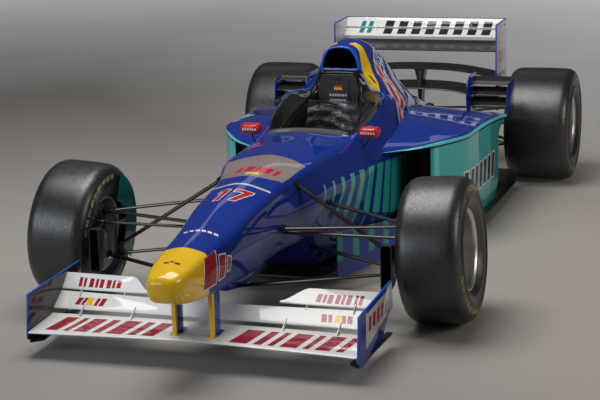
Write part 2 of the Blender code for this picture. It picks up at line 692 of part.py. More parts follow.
def front_knuckles():
    """Upright between the two eyes, with its pins, stub axle and steering arm."""
    low = LOWER_EYE_Z + EYE_H / 2 + STACK_GAP
    high = UPPER_EYE_Z - EYE_H / 2 - STACK_GAP
    centre = Vector((FRONT_TRACK / 2, 0, FRONT_AXLE_Z))
    out = Vector((math.cos(FRONT_CAMBER), 0, math.sin(FRONT_CAMBER)))
    axle_in = centre - out * KINGPIN_IN / out.x
    axle_out = centre + out * (FRONT_TYRE_W / 2 - RIM_INSET - WEB_DEPTH - WEB_T - 0.004)
    upright = loft([
        [(KINGPIN_X + dx, dy * w, z) for dx, dy in ((-0.016, -1), (0.020, -1), (0.020, 1), (-0.016, 1))]
        for z, w in ((low, 0.016), (FRONT_AXLE_Z - 0.05, 0.040), (FRONT_AXLE_Z + 0.04, 0.040), (high, 0.016))
    ])
    pins = [cylinder((KINGPIN_X, 0, LOWER_EYE_Z - EYE_H / 2), (KINGPIN_X, 0, low + 0.01), PIN_R),
            cylinder((KINGPIN_X, 0, high - 0.01), (KINGPIN_X, 0, UPPER_EYE_Z + EYE_H / 2), PIN_R)]
    axle = cylinder(axle_in, axle_out, AXLE_R, WHEEL_STEPS)
    arm_z = TRACK_ROD_Z - 0.016
    arm = strut((KINGPIN_X, 0, arm_z), (KINGPIN_X - 0.004, -STEER_ARM, arm_z), 0.022, 0.014)
    boss = cylinder((KINGPIN_X - 0.004, -STEER_ARM, arm_z - 0.009),
                    (KINGPIN_X - 0.004, -STEER_ARM, TRACK_ROD_Z - 0.009), ROD_END_R, 14)
    scoop = loft([[(x, y, z) for x, z in ((KINGPIN_X + inner, low_z), (KINGPIN_X + outer, low_z),
                                          (KINGPIN_X + outer, high_z), (KINGPIN_X + inner, high_z))]
                  for y, inner, outer, low_z, high_z in ((-0.262, -0.079, -0.031, 0.200, 0.398),
                                                         (-0.135, -0.062, -0.028, 0.262, 0.352))])
    stay = strut((KINGPIN_X, 0, 0.300), (KINGPIN_X - 0.045, -0.150, 0.300), 0.030, 0.016)
    both_sides("front_knuckle", fused([upright, *pins, axle, arm, boss, stay, scoop]), CAST)


def front_suspension():
    """Wishbones whose inner ends stop at the tub's skin, with the pushrod on the lower one."""
    upper = fused([
        eye(KINGPIN_X, 0, UPPER_EYE_Z, PIN_R + PIN_PLAY, EYE_R, EYE_H),
        strut((0.150, -0.131, 0.410), (KINGPIN_X - 0.013, -0.004, UPPER_EYE_Z), 0.034, 0.014),
        strut((0.200, 0.334, 0.428), (KINGPIN_X - 0.013, 0.005, UPPER_EYE_Z), 0.034, 0.014),
    ])
    lower = fused([
        eye(KINGPIN_X, 0, LOWER_EYE_Z, PIN_R + PIN_PLAY, EYE_R, EYE_H),
        strut((0.010, -0.341, 0.203), (KINGPIN_X - 0.013, -0.005, LOWER_EYE_Z), 0.034, 0.014),
        strut((0.080, 0.330, 0.225), (KINGPIN_X - 0.013, 0.005, LOWER_EYE_Z), 0.034, 0.014),
        strut((0.155, 0.057, 0.581), (KINGPIN_X - 0.064, 0.000, LOWER_EYE_Z + 0.050), 0.026, 0.018),
        box((KINGPIN_X - 0.090, -0.036, LOWER_EYE_Z - 0.006), (KINGPIN_X - 0.014, 0.036, LOWER_EYE_Z + 0.006)),
        box((KINGPIN_X - 0.078, -0.012, LOWER_EYE_Z - 0.004), (KINGPIN_X - 0.050, 0.012, LOWER_EYE_Z + 0.060)),
    ])
    for obj in both_sides("front_upper_wishbone", upper, STEEL):
        cut(obj, tub_skin)
    for obj in both_sides("front_lower_wishbone", lower, STEEL):
        cut(obj, tub_skin, keel_skin)


def steering_rack():
    """The rack in the tub and its two track rods, drawn as one bar that slides sideways."""
    end_x = KINGPIN_X - 0.004
    rod_z = TRACK_ROD_Z
    rack = cylinder((-RACK_HALF, -STEER_ARM, rod_z), (RACK_HALF, -STEER_ARM, rod_z), RACK_R)
    pieces = [rack]
    for side in (1, -1):
        pieces.append(strut((side * 0.100, -STEER_ARM, rod_z), (side * end_x, -STEER_ARM, rod_z), 0.020, 0.014))
        pieces.append(cylinder((side * end_x, -STEER_ARM, rod_z - 0.009 + STACK_GAP),
                               (side * end_x, -STEER_ARM, rod_z + 0.009), ROD_END_R, 14))
    place("steering_rack", fused(pieces), STEEL)


def rear_suspension():
    """Wishbones from the gearbox to the rear uprights, and the uprights with their bores."""
    axle_y = DRAWN_WHEELBASE
    upright_x = REAR_TRACK / 2 - 0.140
    upper_z, lower_z = 0.440, 0.185
    steps = ((lower_z, 0.03), (REAR_AXLE_Z - 0.05, 0.055), (REAR_AXLE_Z + 0.05, 0.055), (upper_z, 0.03))
    block = fused([
        loft([[(upright_x + dx, axle_y + dy * w, z) for dx, dy in ((-0.02, -1), (0.02, -1), (0.02, 1), (-0.02, 1))]
              for z, w in steps]),
        cylinder((upright_x - 0.02, axle_y, REAR_AXLE_Z), (upright_x + 0.045, axle_y, REAR_AXLE_Z), 0.045, 16),
    ])
    bore = cylinder((upright_x - 0.1, axle_y, REAR_AXLE_Z), (upright_x + 0.1, axle_y, REAR_AXLE_Z),
                    SHAFT_R + AXLE_PLAY, WHEEL_STEPS)
    for obj, bore_mesh in zip(both_sides("rear_knuckle", block, CAST), (bore, flip_x(bore))):
        cut(obj, cutter("bore_" + obj.name, bore_mesh))
    inner = upright_x - 0.02 - GAP
    upper = fused([
        strut((0.050, 2.700, 0.385), (inner - 0.02, axle_y, upper_z - 0.02), 0.032, 0.014),
        strut((0.050, 2.990, 0.385), (inner - 0.02, axle_y, upper_z - 0.02), 0.032, 0.014),
        box((inner - 0.045, axle_y - 0.02, upper_z - 0.032), (inner, axle_y + 0.02, upper_z - 0.008)),
    ])
    lower = fused([
        strut((0.050, 2.480, 0.205), (inner - 0.02, axle_y, lower_z + 0.015), 0.034, 0.014),
        strut((0.050, 2.985, 0.235), (inner - 0.02, axle_y, lower_z + 0.015), 0.034, 0.014),
        box((inner - 0.045, axle_y - 0.02, lower_z + 0.003), (inner, axle_y + 0.02, lower_z + 0.027)),
    ])
    for name, mesh in (("rear_upper_wishbone", upper), ("rear_lower_wishbone", lower)):
        for obj in both_sides(name, mesh, STEEL):
            cut(obj, gearbox_skin)


# x, y of the floor's left edge from the splitter to the gearbox
FLOOR_EDGE = [
    (0.150, 0.330), (0.215, 0.400), (0.240, 0.520), (0.250, 0.900), (0.420, 1.020), (0.560, 1.180),
    (0.650, 1.340), (0.685, 1.500), (0.700, 1.800), (0.705, 2.520), (0.560, 2.540), (0.540, 2.640),
]


def floor():
    """Flat floor under tub and pods, and the diffuser that rises behind it."""
    outline = FLOOR_EDGE + [(-x, y) for x, y in reversed(FLOOR_EDGE)]
    flat = plate(outline, FLOOR_TOP - FLOOR_LOW, "Z", (FLOOR_TOP + FLOOR_LOW) / 2)
    kick = loft([[(x, y, z) for x, z in ((0.580, FLOOR_LOW + up), (0.704, FLOOR_LOW + up), (0.704, FLOOR_TOP + up),
                                         (0.580, FLOOR_TOP + up))]
                 for y, up in ((2.440, 0.0005), (2.520, 0.014), (2.591, 0.052))])
    place("floor", fused([flat, kick, flip_x(kick)]), CARBON)
    rows = [(2.6403, 0.0), (2.800, 0.026), (2.960, 0.070), (3.120, 0.130)]
    rings = [[(-0.36, y, FLOOR_LOW + up), (0.36, y, FLOOR_LOW + up), (0.36, y, FLOOR_TOP + up),
              (-0.36, y, FLOOR_TOP + up)] for y, up in rows]
    fences = [plate([(2.645, 0.046), (3.115, 0.060), (3.115, 0.190), (2.960, 0.132), (2.645, 0.062)], 0.006, "X", x)
              for x in (-0.355, -0.130, 0.130, 0.355)]
    place("diffuser", fused([loft(rings), *fences]), CARBON)
    place("skid_plank", box((-PLANK_HALF, 0.420, PLANK_LOW), (PLANK_HALF, 2.620, FLOOR_LOW - GAP)), PAD)


# y, half width of the outer wall, height of the roof's outer edge, roof height beside the cockpit,
# thickness of the wall
POD_ROWS = [
    (0.970, 0.335, 0.530, 0.540, 0.018),
    (1.080, 0.462, 0.535, 0.558, 0.018),
    (1.210, 0.555, 0.540, 0.580, 0.018),
    (1.400, 0.650, 0.550, 0.608, 0.014),
    (1.550, 0.665, 0.545, 0.614, SKIN_T),
    (1.700, 0.672, 0.540, 0.608, SKIN_T),
    (2.000, 0.685, 0.528, 0.578, SKIN_T),
    (2.300, 0.690, 0.490, 0.500, SKIN_T),
]
# y, z of what is cut away behind the wall, under the roof's outer edge
POD_REAR = [
    (2.060, 0.000), (2.060, 0.400), (2.090, 0.435), (2.150, 0.460), (2.290, 0.478), (2.420, 0.478), (2.420, 0.000),
]


def pod_loft(rows, grow, hollow=False):
    """The left pod's skin from the floor up, grown by grow, or the room within its roof and wall."""
    rings = []
    sill = FLOOR_TOP + GAP
    for y, x, outer_top, inner_top, wall in rows:
        foot = sill - (0.1 if hollow else 0)
        side_x = x - wall if hollow else x + grow
        down = SKIN_T if hollow else -grow
        low_x = side_x - POD_LEAN * (POD_KNEE_Z - foot) / (POD_KNEE_Z - sill)
        corners = [(POD_TOP_X, foot, 0.002), (low_x, foot, 0.004), (side_x, POD_KNEE_Z, 0.030),
                   (side_x, outer_top - down, 0.030), (POD_TOP_X, inner_top + 0.010 - down, 0.004)]
        rings.append([(p.x, y, p.y) for p in rounded(corners, 4)])
    return loft(rings)


pod_skin = pod_loft([(POD_ROWS[0][0] - GAP, *POD_ROWS[0][1:]), *POD_ROWS[1:-1],
                     (POD_ROWS[-1][0] + GAP, *POD_ROWS[-1][1:])], GAP)
pod_skin_left = cutter("pod_skin_left", pod_skin)
pod_skin_right = cutter("pod_skin_right", flip_x(pod_skin))


def sidepods():
    """Shells open in front and behind: roof and outer wall over the floor, with the radiator inside."""
    room = pod_loft([(POD_ROWS[0][0] - 0.05, *POD_ROWS[0][1:]), *POD_ROWS[1:-1],
                     (POD_ROWS[-1][0] + 0.05, *POD_ROWS[-1][1:])], 0, True)
    mouth = box((0.100, 0.900, -0.100), (0.800, MOUTH_Y, MOUTH_Z))
    rear = plate(POD_REAR, 0.500, "X", 0.700)
    radiator = box((0.360, 1.720, FLOOR_TOP + GAP), (0.630, 1.790, 0.470))
    tools = (room, mouth, rear)
    for obj, own in zip(both_sides("sidepod", pod_loft(POD_ROWS, 0), TEAL), (tools, [flip_x(t) for t in tools])):
        cut(obj, *[cutter(f"{obj.name}_cut_{k}", tool) for k, tool in enumerate(own)], tub_skin, cover_skin)
    both_sides("radiator", radiator, CAST)


def engine_cover():
    """Airbox and spine as one thin shell, open in front, below and at the tail."""
    cover = place("engine_cover", hull(COVER_ROWS), BLUE)
    inner_rows = []
    for y, corners, round_by, top in COVER_ROWS:
        lowered = [(corners[0][0], corners[0][1] - 0.10)] + corners[1:]
        inner_rows.append((y, lowered, round_by, top))
    inner_rows.append((COVER_ROWS[-1][0] + 0.100, *inner_rows[-1][1:]))
    inner = hull(inner_rows, -SKIN_T, COVER_ROWS[0][0] + SKIN_T * 2)
    mouth = hull([
        (1.300, [(0.092, 0.872), (0.086, 0.920), (0.050, 0.966)], 0.020, 0.974),
        (1.500, [(0.092, 0.872), (0.086, 0.920), (0.050, 0.966)], 0.020, 0.974),
    ])
    cut(cover, cutter("cover_inside", inner), cutter("airbox_mouth", mouth), tub_skin, solver="MANIFOLD")


def powertrain():
    place("engine_block", box((-0.230, TUB_REAR_Y + GAP * 2, FLOOR_TOP + GAP), (0.230, 2.2995, 0.400)), CAST)
    place("gearbox", hull(GEARBOX_ROWS), CAST)
    place("crash_structure", hull(TAIL_ROWS), CARBON)
    place("rain_light", box((-0.032, TAIL_Y - 0.0197, 0.275), (0.032, TAIL_Y, 0.335)), RED)


# x, leading y and z, trailing y and z
REAR_END = REAR_WING_HALF - PLATE_T / 2 - GAP
REAR_MAIN = [(0.0, 2.955, 0.742, 3.150, 0.778), (REAR_END, 2.955, 0.742, 3.150, 0.778)]
REAR_FLAP = [(0.0, 3.140, 0.798, 3.195, 0.838), (REAR_END, 3.140, 0.798, 3.195, 0.838)]
REAR_TOP = [(0.0, 3.188, 0.848, 3.235, 0.902), (REAR_END, 3.188, 0.848, 3.235, 0.902)]
REAR_MID = [
    (0.0, 3.060, 0.612, 3.200, 0.630), (0.250, 3.060, 0.602, 3.200, 0.620), (0.379, 3.060, 0.583, 3.200, 0.601),
    (REAR_END, 3.060, 0.560, 3.200, 0.578),
]
REAR_LOW = [
    (0.0, 2.990, 0.500, 3.200, 0.520), (0.250, 2.990, 0.487, 3.200, 0.505), (REAR_END, 3.000, 0.420, 3.200, 0.440),
]


def rear_wing():
    place("rear_wing_main", wing(REAR_MAIN, 0.020, 0.010), CARBON)
    brackets = [plate([(3.170, 0.812), (3.200, 0.800), (3.232, 0.880), (3.200, 0.880)], 0.006, "X", x)
                for x in (-0.300, 0.0, 0.300)]
    place("rear_wing_flaps", fused([wing(REAR_FLAP, 0.008, 0.004), wing(REAR_TOP, 0.008, 0.004), *brackets]), WHITE)
    pillar = loft([[(x * w, y, z) for x, y in ((-1, 3.080), (1, 3.080), (1, 3.180), (-1, 3.180))]
                   for z, w in ((0.375, 0.009), (0.505, 0.015), (0.617, 0.040))])
    beams = [wing(REAR_MID, 0.016, 0.006), wing(REAR_LOW, 0.018, 0.006)]
    beam = place("rear_beam_wing", fused([*beams, pillar]), CARBON)
    cut(beam, tail_skin)
    outline = [(2.948, 0.900), (2.948, 0.600), (2.975, 0.480), (2.975, 0.380), (3.240, 0.380), (3.265, 0.560),
               (3.265, 0.905)]
    both_sides("rear_endplate", plate(outline, PLATE_T, "X", REAR_WING_HALF), BLUE)


def winglets():
    """A box of three blades between two plates, standing on the pod ahead of each rear tyre."""
    outer = plate([(2.305, 0.480), (2.515, 0.480), (2.532, 0.560), (2.535, 0.655), (2.345, 0.646), (2.318, 0.560)],
                  0.006, "X", 0.683)
    inner = plate([(2.290, 0.480), (2.500, 0.480), (2.500, 0.690), (2.330, 0.695), (2.262, 0.660), (2.240, 0.600),
                   (2.250, 0.535)], 0.006, "X", 0.470)
    blades = []
    for k in range(3):
        y, z = 2.330 + 0.032 * k, 0.525 + 0.054 * k
        blades.append(loft([blade_ring(x, (y, z), (y + 0.095, z + 0.035), 0.008, 0.006) for x in (0.471, 0.682)]))
    foot = box((0.469, 2.3003, 0.476), (0.684, 2.345, 0.484))
    left, right = both_sides("rear_winglet", fused([outer, inner, *blades, foot]), CARBON)
    cut(left, pod_skin_left)
    cut(right, pod_skin_right)


def small_parts():
    rings = []
    # y, half width and half height of the shell
    for y, w, h in ((0.786, 0.034, 0.013), (0.798, 0.047, 0.022), (0.842, 0.050, 0.026)):
        ring = rounded([(-w, -h, h), (w, -h, h), (w, h, h), (-w, h, h)], 4)
        rings.append([(MIRROR_X + p.x, y, MIRROR_Z + p.y) for p in ring])
    shell = loft(rings)
    stalk = fused([strut((0.296, 0.820, 0.635), (0.284, 0.826, 0.598), 0.012, 0.008),
                   strut((0.285, 0.826, 0.600), (0.245, 0.832, 0.568), 0.012, 0.008)])
    for obj in both_sides("mirror", fused([shell, stalk]), RED):
        cut(obj, tub_skin)
    bm = bmesh.new()
    # x, y, bottom and top of the plate
    rows = [(0.283, 0.300, 0.064, 0.288), (0.338, 0.430, 0.075, 0.280), (0.400, 0.590, 0.085, 0.270),
            (0.458, 0.760, 0.098, 0.258)]
    made = [(bm.verts.new((x, y, low)), bm.verts.new((x, y, high))) for x, y, low, high in rows]
    for first, second in zip(made, made[1:]):
        bm.faces.new((first[0], second[0], second[1], first[1]))
    sheet = mesh_from(bm, "board")
    holder = bpy.data.objects.new("board", sheet)
    parts.objects.link(holder)
    thick = holder.modifiers.new("shell", "SOLIDIFY")
    thick.thickness = 0.005
    thick.offset = 0
    bpy.context.view_layer.update()
    board = applied(holder, outward=True)
    stay = strut((0.150, 0.500, 0.200), (0.359, 0.500, 0.200), 0.020, 0.010)
    for obj in both_sides("bargeboard", fused([board, stay]), BLUE):
        cut(obj, tub_skin)


monocoque()
cockpit_surround()
seat()
steering_wheel()
nose()
front_wing()
wheels()
front_knuckles()
front_suspension()
steering_rack()
rear_suspension()
floor()
sidepods()
engine_cover()
powertrain()
rear_wing()
winglets()
small_parts()
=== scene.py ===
"""Scene for an open wheel racing car: visible skins, paint, wheels, floor, light and camera.

Points are written in the axle frame, where y = 0 is the front axle, and moved by SHIFT along y into
the row frame. The nose points along -Y and the car's left is +X.
"""

import math

import bmesh
import bpy
import numpy as np
from mathutils import Matrix, Vector
from mathutils.bvhtree import BVHTree


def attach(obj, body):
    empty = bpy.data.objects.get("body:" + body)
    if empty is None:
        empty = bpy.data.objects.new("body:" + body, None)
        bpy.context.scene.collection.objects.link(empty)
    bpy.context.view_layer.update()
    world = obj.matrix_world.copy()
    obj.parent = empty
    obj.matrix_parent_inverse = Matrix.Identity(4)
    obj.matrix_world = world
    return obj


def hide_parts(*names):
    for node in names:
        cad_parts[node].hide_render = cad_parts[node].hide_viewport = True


SHIFT = -1.1225

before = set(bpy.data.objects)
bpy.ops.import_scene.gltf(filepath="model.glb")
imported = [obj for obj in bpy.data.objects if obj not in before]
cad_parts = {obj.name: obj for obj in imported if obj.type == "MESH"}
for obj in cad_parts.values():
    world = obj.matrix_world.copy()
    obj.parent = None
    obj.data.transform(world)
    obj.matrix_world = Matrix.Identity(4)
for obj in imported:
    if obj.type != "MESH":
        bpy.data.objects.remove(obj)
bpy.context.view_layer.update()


# Numbers and colours in materials
class Num:
    """A number in a material's node tree, with arithmetic."""

    def __init__(self, tree, socket):
        self.tree, self.socket = tree, socket

    def op(self, kind, *others, clamp=False):
        node = self.tree.nodes.new("ShaderNodeMath")
        node.operation = kind
        node.use_clamp = clamp
        for k, value in enumerate((self, *others)):
            if isinstance(value, Num):
                self.tree.links.new(value.socket, node.inputs[k])
            else:
                node.inputs[k].default_value = value
        return Num(self.tree, node.outputs[0])

    def __add__(self, other):
        return self.op("ADD", other)

    def __sub__(self, other):
        return self.op("SUBTRACT", other)

    def __mul__(self, other):
        return self.op("MULTIPLY", other)

    def __truediv__(self, other):
        return self.op("DIVIDE", other)

    def __neg__(self):
        return self.op("MULTIPLY", -1.0)

    def abs(self):
        return self.op("ABSOLUTE")

    def above(self, edge, soft=0.0015):
        """0 below the edge, 1 above it, with a short soft step."""
        return (self - edge).op("MULTIPLY_ADD", 1 / soft, 0.5, clamp=True)

    def below(self, edge, soft=0.0015):
        return (self - edge).op("MULTIPLY_ADD", -1 / soft, 0.5, clamp=True)

    def within(self, low, high, soft=0.0015):
        return self.above(low, soft) * self.below(high, soft)

    def least(self, other):
        return self.op("MINIMUM", other)

    def most(self, other):
        return self.op("MAXIMUM", other)


class Look:
    """A material under construction. x, y and z are the surface point in the axle frame."""

    def __init__(self, name, roughness=0.4, metallic=0.0, coat=0.0, **sockets):
        self.made = bpy.data.materials.new(name)
        self.made.use_nodes = True
        self.tree = self.made.node_tree
        self.shader = self.tree.nodes["Principled BSDF"]
        self.shader.inputs["Roughness"].default_value = roughness
        self.shader.inputs["Metallic"].default_value = metallic
        self.shader.inputs["Coat Weight"].default_value = coat
        for key, value in sockets.items():
            self.shader.inputs[key.replace("_", " ").title().replace("Ior", "IOR")].default_value = value
        coords = self.tree.nodes.new("ShaderNodeTexCoord")
        self.spot = coords.outputs["Object"]
        split = self.tree.nodes.new("ShaderNodeSeparateXYZ")
        self.tree.links.new(self.spot, split.inputs[0])
        self.x = Num(self.tree, split.outputs[0])
        self.y = Num(self.tree, split.outputs[1]) - SHIFT
        self.z = Num(self.tree, split.outputs[2])

    def joined(self, x, y, z):
        node = self.tree.nodes.new("ShaderNodeCombineXYZ")
        for k, value in enumerate((x, y, z)):
            if isinstance(value, Num):
                self.tree.links.new(value.socket, node.inputs[k])
            else:
                node.inputs[k].default_value = value
        return node.outputs[0]

    def noise(self, scale, detail=2.0, rough=0.5, at=None):
        node = self.tree.nodes.new("ShaderNodeTexNoise")
        node.inputs["Scale"].default_value = scale
        node.inputs["Detail"].default_value = detail
        node.inputs["Roughness"].default_value = rough
        self.tree.links.new(at or self.spot, node.inputs["Vector"])
        return Num(self.tree, node.outputs["Fac"])

    def poly(self, u, v, points):
        """Signed distance to a convex outline given anticlockwise: below zero inside."""
        found = None
        for (ua, va), (ub, vb) in zip(points, points[1:] + points[:1]):
            span = math.hypot(ub - ua, vb - va)
            nu, nv = (vb - va) / span, -(ub - ua) / span
            side = (u * nu).op("MULTIPLY_ADD", 1.0, -(ua * nu + va * nv)) + v * nv
            found = side if found is None else found.most(side)
        return found

    def blend(self, start, *layers):
        """Colours laid over each other: start, then (colour, mask) pairs."""
        below = start
        for colour, mask in layers:
            node = self.tree.nodes.new("ShaderNodeMix")
            node.data_type = "RGBA"
            for key, value in (("A_Color", below), ("B_Color", colour)):
                socket = next(s for s in node.inputs if s.identifier == key)
                if isinstance(value, bpy.types.NodeSocket):
                    self.tree.links.new(value, socket)
                else:
                    socket.default_value = (*value, 1)
            factor = next(s for s in node.inputs if s.identifier == "Factor_Float")
            if isinstance(mask, Num):
                self.tree.links.new(mask.socket, factor)
            else:
                factor.default_value = mask
            below = next(s for s in node.outputs if s.identifier == "Result_Color")
        return below

    def colour(self, socket):
        self.tree.links.new(socket, self.shader.inputs["Base Color"])
        return self

    def rough(self, number):
        self.tree.links.new(number.socket, self.shader.inputs["Roughness"])
        return self

    def bump(self, height, distance, strength=1.0):
        node = self.tree.nodes.new("ShaderNodeBump")
        node.inputs["Distance"].default_value = distance
        node.inputs["Strength"].default_value = strength
        self.tree.links.new(height.socket, node.inputs["Height"])
        self.tree.links.new(node.outputs["Normal"], self.shader.inputs["Normal"])
        return self


def union(*distances):
    """Distance to the nearest of several shapes."""
    found = distances[0]
    for other in distances[1:]:
        found = found.least(other)
    return found


BLUE = (0.0015, 0.024, 0.25)
DEEP_BLUE = (0.002, 0.009, 0.1)
YELLOW = (0.83, 0.52, 0.01)
WHITE = (0.79, 0.79, 0.78)
GREY_WHITE = (0.55, 0.54, 0.53)
RED = (0.48, 0.01, 0.024)
DARK_RED = (0.33, 0.006, 0.022)
TEAL = (0.058, 0.455, 0.435)
DEEP_TEAL = (0.008, 0.23, 0.22)
LIP_CYAN = (0.12, 0.62, 0.6)
PANEL = (0.24, 0.19, 0.185)
BLACK = (0.012, 0.012, 0.013)
EDGE_BRIGHT = (0.008, 0.07, 0.6)


# Mesh helpers
ON_AXIS = 1e-6
SIDES = ((1, "left"), (-1, "right"))


def finished(bm, name):
    """The mesh, its doubled points merged and its faces turned outwards."""
    bmesh.ops.remove_doubles(bm, verts=bm.verts, dist=0.00001)
    bmesh.ops.recalc_face_normals(bm, faces=bm.faces)
    mesh = bpy.data.meshes.new(name)
    bm.to_mesh(mesh)
    bm.free()
    return mesh


def loft(rings, closed_path=False):
    """A closed skin through rings of equally many points, capped at each end unless the path closes."""
    bm = bmesh.new()
    rows = [[bm.verts.new(p) for p in ring] for ring in rings]
    count = len(rows[0])
    pairs = list(zip(rows, rows[1:] + (rows[:1] if closed_path else [])))
    for row, after in pairs if closed_path else pairs[:len(rows) - 1]:
        for i in range(count):
            j = (i + 1) % count
            bm.faces.new((row[i], row[j], after[j], after[i]))
    if not closed_path:
        bm.faces.new(rows[0])
        bm.faces.new(reversed(rows[-1]))
    return finished(bm, "loft")


def box(low, high, bevel=0.0):
    """A box between two corners."""
    bm = bmesh.new()
    bmesh.ops.create_cube(bm, size=1)
    size = Vector(high) - Vector(low)
    middle = (Vector(high) + Vector(low)) / 2
    bmesh.ops.transform(bm, matrix=Matrix.Translation(middle) @ Matrix.Diagonal((*size, 1)),
                        verts=bm.verts)
    if bevel:
        bmesh.ops.bevel(bm, geom=bm.edges[:], offset=bevel, segments=3, profile=0.5, affect="EDGES")
    return finished(bm, "box")


def rod(start, end, radius, sides=20, far_radius=None):
    """A round rod, or a cone where the far radius differs."""
    start, end = Vector(start), Vector(end)
    if far_radius is None:
        far_radius = radius
    bm = bmesh.new()
    bmesh.ops.create_cone(bm, cap_ends=True, segments=sides, radius1=radius, radius2=far_radius,
                          depth=(end - start).length)
    turn = (end - start).to_track_quat("Z", "Y").to_matrix().to_4x4()
    bmesh.ops.transform(bm, matrix=Matrix.Translation((start + end) / 2) @ turn, verts=bm.verts)
    return finished(bm, "rod")


def plate(outline, thickness, axis, at, bevel=0.0):
    """A flat plate with rounded edges: the outline runs along the other two axes, in X, Y, Z order."""
    others = [i for i in range(3) if i != "XYZ".index(axis)]
    bm = bmesh.new()
    verts = []
    for spot in outline:
        point = [0.0, 0.0, 0.0]
        point[others[0]], point[others[1]] = spot
        point["XYZ".index(axis)] = at - thickness / 2
        verts.append(bm.verts.new(point))
    face = bm.faces.new(verts)
    grown = bmesh.ops.extrude_face_region(bm, geom=[face])
    step = Vector((0, 0, 0))
    step["XYZ".index(axis)] = thickness
    raised = [v for v in grown["geom"] if isinstance(v, bmesh.types.BMVert)]
    bmesh.ops.translate(bm, vec=step, verts=raised)
    if bevel:
        edges = [e for e in bm.edges if any(len(f.verts) > 4 or f.normal.dot(step.normalized()) ** 2 > 0.9
                                            for f in e.link_faces)]
        bmesh.ops.bevel(bm, geom=edges, offset=bevel, segments=2, profile=0.5, affect="EDGES")
    return finished(bm, "plate")


def circle(count):
    """Evenly spaced angles all the way round."""
    return [2 * math.pi * k / count for k in range(count)]


def turned(profile, steps):
    """A closed solid of revolution about Z from (radius, along) pairs that run round its section."""
    bm = bmesh.new()
    rows = []
    for angle in circle(steps):
        rows.append([bm.verts.new((r * math.cos(angle), r * math.sin(angle), a)) for r, a in profile])
    count = len(profile)
    for row, after in zip(rows, rows[1:] + rows[:1]):
        for i in range(count):
            j = (i + 1) % count
            if profile[i][0] > ON_AXIS or profile[j][0] > ON_AXIS:
                bm.faces.new((row[i], row[j], after[j], after[i]))
    return finished(bm, "turned")


def rounded(corners, steps=6):
    """A ring of points: each corner (a, b, radius) becomes a short arc."""
    points = []
    for i, (a, b, radius) in enumerate(corners):
        here = Vector((a, b))
        before = Vector(corners[i - 1][:2]) - here
        after = Vector(corners[(i + 1) % len(corners)][:2]) - here
        reach = min(radius, before.length * 0.49, after.length * 0.49)
        start = here + before.normalized() * reach
        end = here + after.normalized() * reach
        for k in range(steps):
            t = k / (steps - 1)
            points.append(start * (1 - t) ** 2 + here * 2 * t * (1 - t) + end * t**2)
    return points


def spun(corners, arc, steps):
    """A solid of revolution from a section of rounded corners."""
    return turned([(p.x, p.y) for p in rounded(corners, arc)], steps)


def offset(ring, grow):
    """The ring moved outwards by an even distance."""
    made = []
    for i, point in enumerate(ring):
        before = (point - ring[i - 1]).normalized()
        after = (ring[(i + 1) % len(ring)] - point).normalized()
        out_a = Vector((before.y, -before.x))
        out_b = Vector((after.y, -after.x))
        middle = (out_a + out_b).normalized()
        made.append(point + middle * grow / max(0.5, middle.dot(out_a)))
    return made


def eased(rows, fine=6):
    """More rows between the given ones, on a smooth curve through them; a row is an array of points."""
    stack = np.array([[tuple(p) for p in row] for row in rows], float)
    step = np.maximum(np.linalg.norm(np.diff(stack, axis=0), axis=2).mean(axis=1), 1e-6)
    knots = np.concatenate([[0], np.cumsum(step)])
    slope = np.diff(stack, axis=0) / step[:, None, None]
    tangent = np.empty_like(stack)
    tangent[0], tangent[-1] = slope[0], slope[-1]
    for i in range(1, len(stack) - 1):
        a, b = step[i - 1], step[i]
        tangent[i] = (slope[i - 1] * b + slope[i] * a) / (a + b)
    made = []
    for i in range(len(stack) - 1):
        reach = knots[i + 1] - knots[i]
        for k in range(fine):
            t = k / fine
            made.append((2 * t**3 - 3 * t**2 + 1) * stack[i] + (t**3 - 2 * t**2 + t) * reach * tangent[i]
                        + (3 * t**2 - 2 * t**3) * stack[i + 1] + (t**3 - t**2) * reach * tangent[i + 1])
    made.append(stack[-1])
    return [[tuple(p) for p in row] for row in made]


def hull(table, grow=0.0, fine=8, arc=6, low=None):
    """Rings across the car from rows of y, then half width and height of each corner going up from
    the bottom, its rounding, and the height of the top centre."""
    rings = []
    for y, corners, round_by, top in table:
        half = [(w, z, round_by) for w, z in corners]
        ring = half + [(0, top, round_by * 2)] + [(-w, z, r) for w, z, r in reversed(half)]
        rings.append([(p.x, y, p.y) for p in offset(rounded(ring, arc), grow)])
    rings = eased(rings, fine)
    if low is not None:
        rings[0] = [(x, low, z) for x, y, z in rings[0]]
    return loft(rings)


def blade_ring(x, lead, trail, thickness, sag=0.0, count=14):
    """A wing section in the plane of x from its leading to its trailing (y, z) point."""
    lead, trail = Vector(lead), Vector(trail)
    along = (trail - lead).normalized()
    across = Vector((-along.y, along.x))
    chord = (trail - lead).length
    upper, lower = [], []
    for k in range(count + 1):
        s = (1 - math.cos(math.pi * k / count)) / 2
        depth = thickness / 2 * (2.1 * math.sqrt(s) * (1 - s) + 0.2 * (s > 0))
        middle = lead + along * (chord * s) - across * sag * 4 * s * (1 - s)
        upper.append(middle + across * depth)
        lower.append(middle - across * depth)
    return [(x, p.x, p.y) for p in lower[1:] + upper[:0:-1] + [lead]]


def wing(stations, thickness, sag=0.0, fine=6):
    """A plane from tip to tip, from stations along its left half."""
    rows = [(-x, *rest) for x, *rest in reversed(stations) if x > 0] + stations
    return loft(eased([blade_ring(x, (ly, lz), (ty, tz), thickness, sag) for x, ly, lz, ty, tz in rows],
                      fine))


